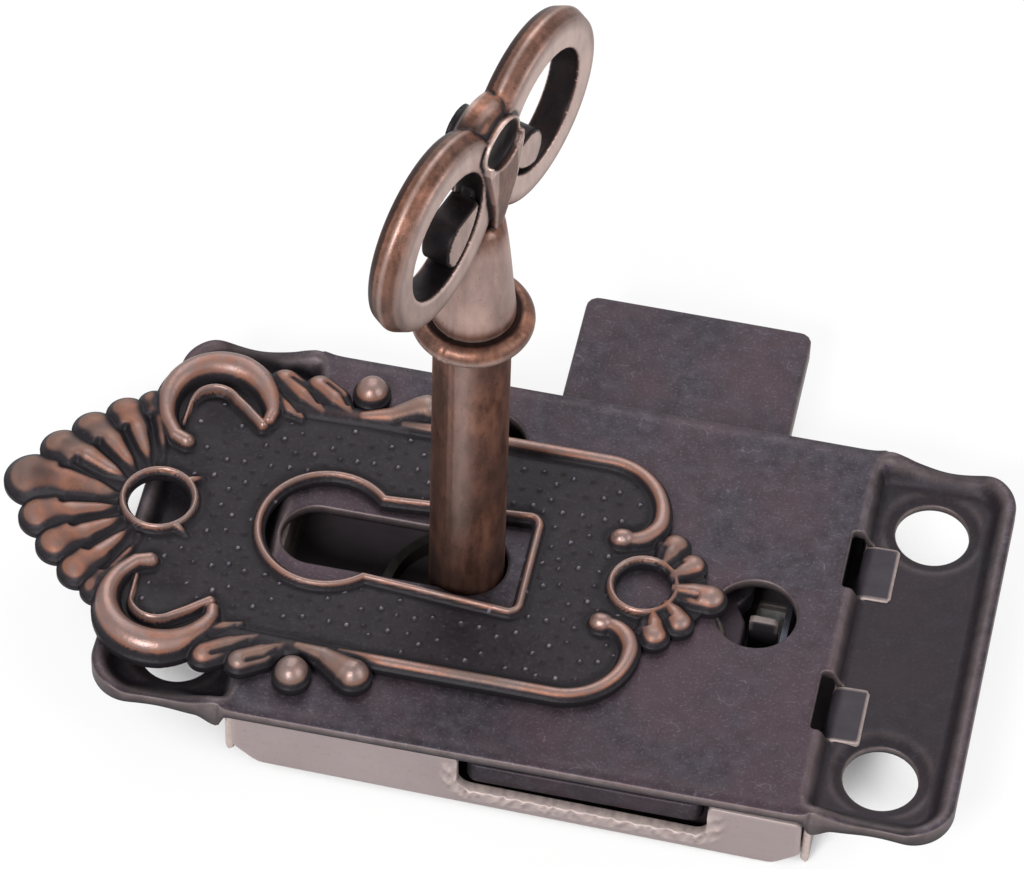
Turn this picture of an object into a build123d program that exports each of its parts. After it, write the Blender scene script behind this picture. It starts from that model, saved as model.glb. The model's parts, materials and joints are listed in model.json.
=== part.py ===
from build123d import *
import math
import os

# Furniture lock with its key and its ornamental escutcheon. Millimetres, +Z out of the
# lock's face towards the key's bow, +Y the way the bolt is thrown, +X along the case.
# The origin is the centre of the four screw holes, on the plane where the ears seat.

# Case: a folded tray with two low end walls, four clinched tabs and one guide lug
case_half_x = 20.95
case_half_y = 16.3
case_shift = 0.25
case_depth = 4.1
case_sheet = 0.6
fold_r = 0.7
corner_gap = 0.05
corner_cut_x = 2.1
corner_cut_z = 1.8
tab_width = 4.8
tab_y = 6.35
tab_reach = 2.1
tab_gap = 0.15
tab_open = 0.9
lug_width = 2.2
lug_y = 1.1
lug_clear = 0.2
lug_top_gap = 0.2

# Cover: a pressed sheet with a raised panel and an ear at each end
cover_sheet = 1.0
panel_rise = 1.4
panel_lap_y = 0.2
panel_wall = 0.55
panel_edge_r = 0.45
panel_end_r = 0.9
ear_length = 9.6
ear_lap = 0.1
ear_inset_y = 0.15
ear_corner_r = 3.2
rim_wall = 1.35
rim_rise = 1.25
rim_dip = 0.5
rim_roll = 0.55
screw_from_panel = 4.0
screw_y = 10.95
screw_hole_r = 2.65
screw_lip = 0.35
peep_from_end = 7.0
peep_r = 2.95
vent_from_key = 0.9
vent_y = 10.9
vent_r = 2.9
keyway_half_w = 2.55
keyway_clear = 0.7
shank_hole_clear = 0.25

# Bolt: one flat plate that slides through both long walls
bolt_from_key = 3.3
spring_bay = 7.1
bolt_tail_gap = 0.4
bolt_stand_out = 11.3
bolt_thick = 1.88
bolt_top_gap = 1.15
bolt_throw = 11.0
bolt_corner_r = 0.8
bolt_side_gap = 0.45
bolt_under_gap = 0.2
window_corner_r = 1.0

# Key: shank, collar, cone, bow of two loops with two leaves, and bit
key_off_middle = 6.7
key_angle = 72.0
shank_r = 2.7
key_bore_r = 1.7
key_bore_depth = 11.0
key_end_gap = 1.2
shank_above_panel = 26.6
collar_r = 4.27
collar_thick = 1.7
collar_round = 0.5
cone_foot_r = 2.95
cone_waist_r = 2.3
cone_waist_up = 5.2
cone_neck_r = 1.6
cone_height = 9.3
bow_above_collar = 15.9
loop_offset = 6.35
loop_hole_r = 4.55
loop_face_wall = 2.15
loop_crown = 0.5
loop_width = 2.35
knot_above_bow = 3.4
knot_half_u = 2.3
knot_half_z = 1.9
knot_round = 1.5
knot_width = 3.9
tongue_top_half = 2.2
tongue_foot_half = 0.5
tongue_width = 3.6
tongue_lap = 1.0
leaf_reach = 6.2
leaf_r = 1.8
leaf_below_bow = 2.6
leaf_width = 2.0
bit_wall_gap = 0.6
bit_thick = 2.0
bit_end_gap = 0.3
ward_clear = 0.2

# Inside the case
post_gap = 0.1
post_above_panel = 4.6
post_tenon_r = 1.2
ward_r = 5.6
ward_thick = 0.7
ward_height = 1.55
ward_tenons = 3
ward_turn = 30.0
tenon_length = 1.8
tenon_inset = 0.1
stud_y = -1.6
stud_r = 1.4
stud_gap = 0.1
stud_head_lift = 0.1
stud_head_r = 2.5
stud_head_h = 0.8
stud_tenon_r = 1.1
spacer_r = 2.3
seat_fit = 0.02
notch_gap = 0.15
detent_y = -9.0
detent_depth = 0.8
detent_half_w = 1.3
spring_thick = 0.45
spring_height = 3.1
spring_wall_gap = 1.1
spring_lug_gap = 0.2
spring_nose_gap = 0.25
spring_nose_run = 1.9
spring_nose_rise = 1.6
spring_tail_run = 1.7
spring_tail_rise = 0.8
spring_lean = 5.1
spring_foot_y = 9.0
spring_foot_len = 6.0
rivet_r = 0.9
rivet_head_r = 1.35
rivet_head_h = 0.5

# Escutcheon: a casting that lies on the panel; its lengths run from the key's axis
loose_gap = 0.02
plate_thick = 0.6
plate_half_y = 11.1
plate_left = -17.3
rim_right = 12.95
rim_inset = 0.55
rim_r = 0.5
rim_start = -3.3
rim_bend_r = 4.6
curl_bend_r = 2.1
curl_ball_r = 0.75
rim_crest = 1.0
hole_round_x = -10.2
hole_round_r = 4.7
hole_neck_x = -6.6
hole_neck_half = 3.3
hole_end_x = 4.3
hole_end_half = 4.1
hole_rim_w = 0.55
nail_left_x = -22.5
nail_left_r = 2.25
nail_right_x = 12.8
nail_right_r = 2.0
nail_ring_w = 0.55
nail_ring_h = 1.3
scroll_x = -20.2
scroll_inset = 2.3
scroll_r = 4.1
scroll_tube_r = 0.95
scroll_inner_r = 2.15
scroll_inner_tube_r = 0.55
scroll_inner_drop = 0.6
scroll_crest = 1.9
scroll_outer_deg = (-115.0, -245.0)
scroll_inner_deg = (-150.0, -210.0)
shell_root_x = -24.6
shell_root_y = 0.5
shell_root_r = 0.5
# Each lobe: how far its tip lies left of the nail hole, how far from the middle, its radius
shell_middle = (9.1, 2.3)
shell_lobes_side = ((7.6, 3.1, 1.75), (5.4, 5.1, 1.6), (3.5, 7.1, 1.5), (1.8, 9.0, 1.3))
web_radii = (7.2, 9.0)
web_left = 0.6
fan_root_x = 1.9
fan_root_r = 0.4
fan_disc_r = 3.4
fan_side_root = (1.1, 1.2)
# Each lobe: how far its tip lies right of the nail hole, how far from the middle, its radius
fan_middle = (4.7, 1.2)
fan_lobes_side = ((3.5, 2.4, 1.0), (1.8, 4.2, 0.85))
pearl_x = -9.9
pearl_out = 1.8
pearl_r = 1.4
pearl_seat = 0.5
# Drop and leaves: place and radius of root and tip, with y counted from the plate's edge
drop_root = (-9.3, -0.5, 0.5)
drop_tip = (-5.7, 1.0, 1.2)
leaves = (
    ((-15.9, -2.1, 0.6), (-13.9, 0.3, 0.85)),
    ((-14.5, -1.8, 0.5), (-12.2, 0.2, 0.85)),
)
lobe_shoulder = 0.8
lobe_heel = 0.7

# Cuts: how far they run past a face, how far right through, and how folded sheet laps
cut_over = 1.0
cut_through = 100.0
fold_lap = 1.0
same_place = 0.01

# Levels and places that follow from the values above
inner_x = case_half_x - case_sheet
inner_y = case_half_y - case_sheet
case_left = case_shift - inner_x
case_right = case_shift + inner_x
panel_half_x = case_half_x + case_shift
panel_half_y = case_half_y + panel_lap_y
ear_half_x = panel_half_x + ear_length
ear_half_y = panel_half_y - ear_inset_y
screw_x = panel_half_x + screw_from_panel
key_x = -key_off_middle
peep_x = panel_half_x - peep_from_end
vent_x = key_x - vent_from_key
ear_top = cover_sheet
panel_low = panel_rise
panel_top = panel_low + cover_sheet
case_low = -case_depth
floor_top = case_low + case_sheet
bolt_left = key_x + bolt_from_key
bolt_right = case_right - spring_bay
bolt_low = bolt_tail_gap - inner_y
bolt_high = panel_half_y + bolt_stand_out
bolt_top = panel_low - bolt_top_gap
bolt_bottom = bolt_top - bolt_thick
key_low = floor_top + key_end_gap
collar_z = panel_top + shank_above_panel
cone_z = collar_z + collar_thick
cone_top = cone_z + cone_height
bow_z = collar_z + bow_above_collar
knot_z = bow_z + knot_above_bow
bit_reach = key_x - case_left - bit_wall_gap
keyway_reach = bit_reach + keyway_clear
ward_top = floor_top + ward_height
plate_low = panel_top + loose_gap
rim_y = plate_half_y - rim_inset
scroll_y = plate_half_y - scroll_inset
pearl_y = plate_half_y + pearl_out
post_top = panel_top + post_above_panel
lug_left = bolt_right + lug_clear
lug_right = lug_left + lug_width
lug_back = lug_y - case_sheet
lug_high = panel_low - lug_top_gap

# The bay in the bolt leaves the bit free at both ends of its turn
bit_tip_y = bit_reach * math.sin(math.radians(key_angle))
bit_tip_y += bit_thick / 2 * math.cos(math.radians(key_angle))
notch_high = bit_tip_y + notch_gap
notch_low = bolt_throw - notch_high
notch_right = key_x + bit_reach + notch_gap
stud_x = (notch_right + bolt_right) / 2
spring_x = lug_right + spring_lug_gap + spring_thick / 2
spring_foot_right = case_right - spring_wall_gap
rivet_x = (spring_x + spring_thick / 2 + spring_foot_right) / 2


def slab(x0, x1, y0, y1, z0, z1):
    """A plain block between two corners."""
    return Pos((x0 + x1) / 2, (y0 + y1) / 2, (z0 + z1) / 2) * Box(x1 - x0, y1 - y0, z1 - z0)


def rod(x, y, z0, z1, radius):
    """An upright round bar."""
    return Pos(x, y, (z0 + z1) / 2) * Cylinder(radius, z1 - z0)


def outline(points, z):
    """A flat face at height z from corner points."""
    return Pos(0, 0, z) * make_face(Polyline(*points, close=True))


def ear(side):
    """One dished ear: a floor, and a rolled rim that dips along its three edges."""
    x_in = panel_half_x - ear_lap
    mid = (x_in + ear_half_x) / 2
    length = ear_half_x - x_in
    rim_top = ear_top + rim_rise
    blank = Pos(mid, 0, 0) * Rectangle(length, 2 * ear_half_y)
    body = extrude(blank, rim_top)
    outer = body.edges().filter_by(Axis.Z).group_by(Axis.X)[-1]
    body = fillet(outer, ear_corner_r)
    dish_x = ear_half_x - rim_wall
    dish = slab(
        x_in - cut_over,
        dish_x,
        -ear_half_y + rim_wall,
        ear_half_y - rim_wall,
        ear_top,
        rim_top + cut_over,
    )
    inner = dish.edges().filter_by(Axis.Z).group_by(Axis.X)[-1]
    body -= fillet(inner, ear_corner_r - rim_wall)
    # The rim sinks in a shallow curve between its two ends on each edge
    span = length - ear_corner_r
    sag_r = (span / 2) ** 2 / (2 * rim_dip)
    sag = Pos(mid, 0, rim_top - rim_dip + sag_r) * Rot(90, 0, 0) * Cylinder(sag_r, cut_through)
    body -= sag
    end_span = 2 * (ear_half_y - ear_corner_r)
    end_r = (end_span / 2) ** 2 / (2 * rim_dip)
    body -= Pos(mid, 0, rim_top - rim_dip + end_r) * Rot(0, 90, 0) * Cylinder(end_r, 2 * ear_length)
    # The lower outer edge is rolled, so the sheet turns up into the rim
    low = body.faces().sort_by(Axis.Z)[0].edges()
    low = [e for e in low if e.center().X > x_in + rim_roll]
    body = chamfer(low, rim_roll)
    return body if side > 0 else mirror(body, Plane.YZ)


def cover_plate():
    """The pressed cover with its keyway, holes and the slots for the clinched tabs."""
    plate = slab(-panel_half_x, panel_half_x, -panel_half_y, panel_half_y, 0, panel_top)
    long_edges = plate.faces().sort_by(Axis.Z)[-1].edges().filter_by(Axis.X)
    plate = fillet(long_edges, panel_edge_r)
    end_edges = plate.faces().sort_by(Axis.Z)[-1].edges().filter_by(Axis.Y)
    plate = fillet(end_edges, panel_end_r)
    web_x = panel_half_x - panel_wall
    over_top = panel_top + cut_over
    plate -= slab(-web_x, web_x, -cut_through, cut_through, -cut_over, panel_low)
    # Over the end walls the sheet steps down, so those walls stop at the seat
    for side in (-1, 1):
        plate += ear(side)
        for row in (-1, 1):
            x0 = case_shift + side * (inner_x - tab_open)
            x1 = side * (panel_half_x + tab_gap)
            half = tab_width / 2 + tab_gap
            y = row * tab_y
            plate -= slab(min(x0, x1), max(x0, x1), y - half, y + half, -cut_over, over_top)
            hole = rod(side * screw_x, row * screw_y, -cut_over, over_top, screw_hole_r)
            lip = Pos(side * screw_x, row * screw_y, ear_top - screw_lip / 2)
            lip = lip * Cone(screw_hole_r, screw_hole_r + 2 * screw_lip, screw_lip)
            plate -= hole
            plate -= lip
    plate -= rod(peep_x, 0, 0, over_top, peep_r)
    plate -= rod(vent_x, vent_y, 0, over_top, vent_r)
    slot_left = key_x - keyway_reach
    end_x = slot_left + keyway_half_w
    plate -= rod(end_x, 0, 0, over_top, keyway_half_w)
    plate -= slab(end_x, key_x, -keyway_half_w, keyway_half_w, 0, over_top)
    plate -= rod(key_x, 0, 0, over_top, shank_r + shank_hole_clear)
    return plate


def long_wall(side):
    """One long wall with its cut corners."""
    y0 = side * inner_y
    y1 = side * case_half_y
    half = inner_x - corner_gap
    wall = slab(-half, half, min(y0, y1), max(y0, y1), case_low, panel_low)
    for end in (-1, 1):
        tip = end * half
        corner = outline(
            [(tip, case_low), (tip - end * corner_cut_x, case_low), (tip, case_low + corner_cut_z)], 0
        )
        cut = Pos(0, cut_through, 0) * Rot(90, 0, 0) * extrude(corner, 2 * cut_through)
        wall -= cut
    return wall


def bolt_window():
    """The window in both long walls that the bolt slides through."""
    window = slab(
        bolt_left - bolt_side_gap,
        bolt_right + bolt_side_gap,
        -cut_through,
        cut_through,
        bolt_bottom - bolt_under_gap,
        panel_low + cut_over,
    )
    low = window.edges().filter_by(Axis.Y).group_by(Axis.Z)[0]
    return fillet(low, window_corner_r)


def case_box():
    """The folded tray with end walls, clinched tabs, guide lug and the seats of its rivets."""
    floor_half = inner_x - corner_gap
    box = slab(-floor_half, floor_half, -case_half_y, case_half_y, case_low, floor_top)
    for side in (-1, 1):
        box += long_wall(side)
    low = [e for e in box.edges().filter_by(Axis.X) if abs(e.center().Z - case_low) < same_place]
    low = [e for e in low if abs(abs(e.center().Y) - case_half_y) < same_place]
    box = fillet(low, fold_r)
    for end in (-1, 1):
        x_in = end * inner_x
        x_out = end * case_half_x
        wall_half = inner_y - corner_gap
        foot_half = case_half_y - corner_cut_x
        x0, x1 = min(x_in, x_out), max(x_in, x_out)
        box += slab(x0, x1, -wall_half, wall_half, case_low + fold_r / 2, 0)
        joint_in = end * (floor_half - fold_lap)
        box += slab(min(joint_in, x_out), max(joint_in, x_out), -foot_half, foot_half, case_low, floor_top)
        for row in (-1, 1):
            y0 = row * tab_y - tab_width / 2
            y1 = row * tab_y + tab_width / 2
            box += slab(x0, x1, y0, y1, -fold_lap, ear_top + case_sheet)
            leaf = end * (case_half_x + tab_reach)
            leaf_x0, leaf_x1 = min(x_in, leaf), max(x_in, leaf)
            box += slab(leaf_x0, leaf_x1, y0, y1, ear_top, ear_top + case_sheet)
    box = Pos(case_shift, 0, 0) * box - bolt_window()
    box += slab(lug_left, lug_right, lug_back, lug_y, floor_top, lug_high)
    # The lug is bent up out of the floor, so it leaves a hole of its own length there
    lug_hole_y = lug_y + lug_high - floor_top
    under = case_low - cut_over
    box -= slab(lug_left, lug_right, lug_y, lug_hole_y, under, floor_top)
    box -= rod(key_x, 0, under, floor_top, post_tenon_r + seat_fit)
    box -= rod(stud_x, stud_y, under, floor_top, stud_tenon_r + seat_fit)
    box -= rod(rivet_x, spring_foot_y, under, floor_top, rivet_r + seat_fit)
    for index in range(ward_tenons):
        box -= ward_tenon(index, seat_fit)
    return box


def bolt():
    """The bolt plate with the bay for the key's bit, the stud's slot and two detent notches."""
    body = slab(bolt_left, bolt_right, bolt_low, bolt_high, bolt_bottom, bolt_top)
    nose = body.edges().filter_by(Axis.Z)
    body = fillet(nose, bolt_corner_r)
    under = bolt_bottom - cut_over
    above = bolt_top + cut_over
    bay = slab(bolt_left - cut_over, notch_right, notch_low, notch_high, under, above)
    body -= fillet(bay.edges().filter_by(Axis.Z).group_by(Axis.X)[-1], bolt_corner_r)
    slot_r = stud_r + stud_gap
    slot_mid = stud_y + bolt_throw / 2
    body -= slab(stud_x - slot_r, stud_x + slot_r, stud_y, stud_y + bolt_throw, under, above)
    for end in (-1, 1):
        body -= rod(stud_x, slot_mid + end * bolt_throw / 2, under, above, slot_r)
    for y in (detent_y, detent_y + bolt_throw):
        vee = outline(
            [
                (bolt_right + cut_over, y - detent_half_w - cut_over),
                (bolt_right + cut_over, y + detent_half_w + cut_over),
                (bolt_right, y + detent_half_w),
                (bolt_right - detent_depth, y),
                (bolt_right, y - detent_half_w),
            ],
            under,
        )
        body -= extrude(vee, above - under)
    return body


def bolt_stud():
    """The headed stud that guides the bolt, stops it at both ends and is riveted in the floor."""
    body = rod(stud_x, stud_y, case_low, floor_top, stud_tenon_r)
    head_z = bolt_top + stud_head_lift
    body += rod(stud_x, stud_y, bolt_bottom, head_z, stud_r)
    body += rod(stud_x, stud_y, floor_top, bolt_bottom, stud_tenon_r)
    head = rod(stud_x, stud_y, head_z, head_z + stud_head_h, stud_head_r)
    body += fillet(head.edges().group_by(Axis.Z)[-1], stud_head_h / 2)
    return body


def stud_spacer():
    """The washer that carries the bolt clear of the case floor."""
    ring = rod(stud_x, stud_y, floor_top, bolt_bottom, spacer_r)
    over_top = bolt_bottom + cut_over
    return ring - rod(stud_x, stud_y, floor_top - cut_over, over_top, stud_tenon_r + seat_fit)


def key_post():
    """The pin that the hollow key turns on, riveted in the floor."""
    post_r = key_bore_r - post_gap
    body = rod(key_x, 0, case_low, floor_top, post_tenon_r)
    shaft = rod(key_x, 0, floor_top, post_top, post_r)
    return body + fillet(shaft.edges().group_by(Axis.Z)[-1], post_r / 2)


def ward_tenon(index, gap):
    """One foot of the ward ring, or the slot for it when a gap is given."""
    turn = 360 / ward_tenons * index + ward_turn
    foot = Pos(ward_r + ward_thick / 2, 0, (case_low + floor_top) / 2)
    foot = foot * Box(ward_thick + 2 * (gap - tenon_inset), tenon_length + 2 * gap, case_sheet)
    return Pos(key_x, 0, 0) * Rot(0, 0, turn) * foot


def ward_ring():
    """The ring ward on the floor, which only a key with the right slot passes."""
    ring = rod(key_x, 0, floor_top, ward_top, ward_r + ward_thick)
    ring -= rod(key_x, 0, floor_top - cut_over, ward_top + cut_over, ward_r)
    for index in range(ward_tenons):
        ring += ward_tenon(index, 0)
    return ring


def detent_spring():
    """A leaf on edge: its foot is riveted down and its nose rests in the bolt's notch."""
    half = spring_thick / 2
    nose_x = bolt_right - detent_depth + half + spring_nose_gap
    knee_x = nose_x + spring_nose_rise
    knee_y = detent_y + spring_nose_run
    heel_y = detent_y - spring_nose_run
    route = [
        (spring_x, spring_foot_y + spring_foot_len / 2),
        (spring_x, knee_y + spring_lean),
        (knee_x, knee_y),
        (nose_x, detent_y),
        (knee_x, heel_y),
        (knee_x + spring_tail_rise, heel_y - spring_tail_run),
    ]
    flat = None
    for start, end in zip(route, route[1:]):
        run = Vector(*end) - Vector(*start)
        middle = (Vector(*end) + Vector(*start)) / 2
        turn = math.degrees(math.atan2(run.Y, run.X))
        piece = Pos(middle.X, middle.Y) * Rot(0, 0, turn) * SlotCenterToCenter(run.length, spring_thick)
        flat = piece if flat is None else flat + piece
    leaf_low = floor_top + spring_thick
    leaf = Pos(0, 0, leaf_low) * extrude(flat, spring_height)
    foot_y0 = spring_foot_y - spring_foot_len / 2
    foot_y1 = spring_foot_y + spring_foot_len / 2
    leaf += slab(spring_x - half, spring_foot_right, foot_y0, foot_y1, floor_top, leaf_low)
    over_top = leaf_low + cut_over
    return leaf - rod(rivet_x, spring_foot_y, floor_top - cut_over, over_top, rivet_r + seat_fit)


def spring_rivet():
    """The rivet through the spring's foot and the case floor."""
    seat = floor_top + spring_thick
    body = rod(rivet_x, spring_foot_y, case_low, seat, rivet_r)
    head = rod(rivet_x, spring_foot_y, seat, seat + rivet_head_h, rivet_head_r)
    return body + fillet(head.edges().group_by(Axis.Z)[-1], rivet_head_h / 2)


def key_frame():
    """Local frame of the key: X runs along the bow and the bit, Z up the shank."""
    return Pos(key_x, 0, 0) * Rot(0, 0, key_angle)


def bow_loop(side):
    """One round loop with a crowned outer edge."""
    half = loop_width / 2
    face_r = loop_hole_r + loop_face_wall
    solid = None
    for way in (-1, 1):
        mid = Plane.XZ * Circle(face_r + loop_crown)
        edge = Plane.XZ.offset(way * half) * Circle(face_r)
        part = loft([mid, edge], ruled=True)
        solid = part if solid is None else solid + part
    hole = Plane.XZ.offset(-loop_width) * Circle(loop_hole_r)
    solid -= extrude(hole, 2 * loop_width)
    return Pos(side * loop_offset, 0, bow_z) * solid


def bow_leaf(side):
    """The leaf that reaches from the neck into the lower corner of one loop."""
    run = leaf_reach - leaf_r
    place = Plane.XZ.offset(-leaf_width / 2) * Pos(side * run / 2, bow_z - leaf_below_bow)
    return extrude(place * SlotCenterToCenter(run, 2 * leaf_r), leaf_width)


def key():
    """The key as one casting: bored shank, collar, cone, bow and warded bit."""
    turn_profile = [
        (0, key_low),
        (shank_r, key_low),
        (shank_r, collar_z),
        (collar_r - collar_round, collar_z),
        (collar_r, collar_z + collar_round),
        (collar_r, cone_z - collar_round),
        (collar_r - collar_round, cone_z),
        (cone_foot_r, cone_z),
        (cone_waist_r, cone_z + cone_waist_up),
        (cone_neck_r, cone_top),
        (0, cone_top),
    ]
    body = revolve(Plane.XZ * make_face(Polyline(*turn_profile, close=True)), Axis.Z)
    for side in (-1, 1):
        body += bow_loop(side)
        body += bow_leaf(side)
    knot = Pos(0, 0, knot_z) * Box(2 * knot_half_u, knot_width, 2 * knot_half_z)
    body += fillet(knot.edges().filter_by(Axis.Y), knot_round)
    tongue = make_face(
        Polyline(
            (-tongue_top_half, knot_z),
            (tongue_top_half, knot_z),
            (tongue_foot_half, cone_top - tongue_lap),
            (-tongue_foot_half, cone_top - tongue_lap),
            close=True,
        )
    )
    body += extrude(Plane.XZ.offset(-tongue_width / 2) * tongue, tongue_width)
    bit_high = panel_low - bit_end_gap
    bit = slab(0, bit_reach, -bit_thick / 2, bit_thick / 2, key_low, bit_high)
    ward_low_r = ward_r - ward_clear
    ward_high_r = ward_r + ward_thick + ward_clear
    under = key_low - cut_over
    bit -= slab(ward_low_r, ward_high_r, -bit_thick, bit_thick, under, ward_top + ward_clear)
    body += bit
    body -= rod(0, 0, under, key_low + key_bore_depth, key_bore_r)
    return key_frame() * body


def keyhole_face(grow):
    """The keyhole's outline, widened by grow: a round head and a flared slot."""
    head = Pos(hole_round_x, 0) * Circle(hole_round_r + grow)
    slot = make_face(
        Polyline(
            (hole_round_x, hole_neck_half + grow),
            (hole_neck_x, hole_neck_half + grow),
            (hole_end_x + grow, hole_end_half + grow),
            (hole_end_x + grow, -hole_end_half - grow),
            (hole_neck_x, -hole_neck_half - grow),
            (hole_round_x, -hole_neck_half - grow),
            close=True,
        )
    )
    return head + slot


def petal(root, tip):
    """A lobe that swells from its root to a round tip. Each end is x, y and radius."""
    root_x, root_y, root_r = root
    tip_x, tip_y, tip_r = tip
    run = Vector(tip_x - root_x, tip_y - root_y)
    length = run.length
    slope = math.asin((tip_r - root_r) / length)
    top_x, top_y = -math.sin(slope), math.cos(slope)
    root_touch = (root_r * top_x, root_r * top_y)
    tip_touch = (length + tip_r * top_x, tip_r * top_y)
    shoulder = math.sqrt(1 - lobe_shoulder**2)
    heel = (-root_r * math.cos(lobe_heel), root_r * math.sin(lobe_heel))
    nose = (length + tip_r * shoulder, tip_r * lobe_shoulder)
    profile = make_face(
        [
            Line((-root_r, 0), (length + tip_r, 0)),
            ThreePointArc((length + tip_r, 0), nose, tip_touch),
            Line(tip_touch, root_touch),
            ThreePointArc(root_touch, heel, (-root_r, 0)),
        ]
    )
    turn = math.degrees(math.atan2(run.Y, run.X))
    return Pos(root_x, root_y, 0) * Rot(0, 0, turn) * revolve(profile, Axis.X)


def shell_lobes():
    """The large shell at the left end, one middle lobe and four on each side."""
    reach, tip_r = shell_middle
    lobes = [petal((shell_root_x, 0, shell_root_r), (nail_left_x - reach, 0, tip_r))]
    for reach, tip_y, tip_r in shell_lobes_side:
        for row in (-1, 1):
            root = (shell_root_x, row * shell_root_y, shell_root_r)
            lobes.append(petal(root, (nail_left_x - reach, row * tip_y, tip_r)))
    return lobes


def fan_lobes():
    """The small shell at the right end, one middle lobe and two on each side."""
    reach, tip_r = fan_middle
    root = (nail_right_x + fan_root_x, 0, fan_root_r)
    lobes = [petal(root, (nail_right_x + reach, 0, tip_r))]
    for reach, tip_y, tip_r in fan_lobes_side:
        for row in (-1, 1):
            root = (nail_right_x + fan_side_root[0], row * fan_side_root[1], fan_root_r)
            lobes.append(petal(root, (nail_right_x + reach, row * tip_y, tip_r)))
    return lobes


def ridge(path, radius, crest):
    """A round moulding along a path, whose crest stands at a given height."""
    profile = Plane(origin=path @ 0, z_dir=path % 0)
    return Pos(0, 0, crest - radius) * sweep(profile * Circle(radius), path=path)


def rim_path():
    """Half of the moulded rim: straight, round the corner and into the curl."""
    corner_x = rim_right - rim_bend_r
    straight = Line((rim_start, rim_y), (corner_x, rim_y))
    bend = JernArc(straight @ 1, straight % 1, rim_bend_r, -90)
    curl = JernArc(bend @ 1, bend % 1, curl_bend_r, -90)
    return Wire([straight, bend, curl])


def scroll_ridge(radius, tube_r, crest, start_deg, turn_deg):
    """A round stretch of a scroll with a ball at each end."""
    start = math.radians(start_deg)
    place = (scroll_x + radius * math.cos(start), scroll_y + radius * math.sin(start))
    path = JernArc(place, (math.sin(start), -math.cos(start)), radius, turn_deg)
    parts = [ridge(path, tube_r, crest)]
    for end in (path @ 0, path @ 1):
        parts.append(Pos(end.X, end.Y, crest - tube_r) * Sphere(tube_r))
    return parts


def upper_relief():
    """What stands on the upper half of the plate and is repeated, mirrored, on the lower half."""
    path = rim_path()
    parts = [ridge(path, rim_r, rim_crest)]
    end = path @ 1
    parts.append(Pos(end.X, end.Y, rim_crest - rim_r) * Sphere(curl_ball_r))
    parts += scroll_ridge(scroll_r, scroll_tube_r, scroll_crest, *scroll_outer_deg)
    inner_crest = scroll_crest - scroll_inner_drop
    parts += scroll_ridge(scroll_inner_r, scroll_inner_tube_r, inner_crest, *scroll_inner_deg)
    parts.append(Pos(pearl_x, pearl_y, 0) * Sphere(pearl_r))
    edge = Pos(0, plate_half_y, 0)
    parts.append(edge * petal(drop_root, drop_tip))
    for root, tip in leaves:
        parts.append(edge * petal(root, tip))
    return parts


def plate_blank():
    """The outline of the thin plate under the relief."""
    bend_x = rim_right - rim_bend_r
    edge_x = rim_right + rim_r
    bend_y = rim_y - rim_bend_r
    bend_r = plate_half_y - bend_y
    field = make_face(
        [
            Line((plate_left, plate_half_y), (bend_x, plate_half_y)),
            RadiusArc((bend_x, plate_half_y), (edge_x, bend_y), bend_r),
            Line((edge_x, bend_y), (edge_x, -bend_y)),
            RadiusArc((edge_x, -bend_y), (bend_x, -plate_half_y), bend_r),
            Line((bend_x, -plate_half_y), (plate_left, -plate_half_y)),
            Line((plate_left, -plate_half_y), (plate_left, plate_half_y)),
        ]
    )
    blank = field + Pos(nail_right_x + fan_root_x, 0) * Circle(fan_disc_r)
    blank += Pos(nail_left_x - web_left, 0) * Ellipse(*web_radii)
    for row in (-1, 1):
        blank += Pos(scroll_x, row * scroll_y) * Circle(scroll_r + scroll_tube_r)
        blank += Pos(pearl_x, row * (pearl_y - pearl_seat)) * Circle(pearl_r)
    return blank


def escutcheon():
    """The casting: plate, keyhole, nail holes, shells, scrolls, rim and pearls."""
    body = extrude(plate_blank(), plate_thick)
    for part in shell_lobes() + fan_lobes():
        body += part
    for part in upper_relief():
        body += part
        body += mirror(part, Plane.XZ)
    lip = keyhole_face(hole_rim_w / 2) - keyhole_face(-hole_rim_w / 2)
    body += extrude(lip, rim_crest)
    for x, r in ((nail_left_x, nail_left_r), (nail_right_x, nail_right_r)):
        body += rod(x, 0, 0, nail_ring_h, r + nail_ring_w)
        body -= rod(x, 0, -cut_through, cut_through, r)
    body -= Pos(0, 0, -cut_over) * extrude(keyhole_face(-hole_rim_w / 2), cut_through)
    # Everything below the back of the casting is cut flat
    body -= slab(-cut_through, cut_through, -cut_through, cut_through, -cut_through, 0)
    return Pos(key_x, 0, plate_low) * body


PIECES = {
    "case_box": case_box,
    "cover_plate": cover_plate,
    "bolt": bolt,
    "bolt_stud": bolt_stud,
    "stud_spacer": stud_spacer,
    "key_post": key_post,
    "ward_ring": ward_ring,
    "detent_spring": detent_spring,
    "spring_rivet": spring_rivet,
    "escutcheon": escutcheon,
    "key": key,
}

os.makedirs("parts", exist_ok=True)
for name, make in PIECES.items():
    export_step(make(), "parts/" + name + ".step")
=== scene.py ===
"""Furniture lock with its key and its ornamental escutcheon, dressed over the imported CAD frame."""

import json
import math

import bpy
import numpy as np
from mathutils import Matrix, Vector


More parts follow.
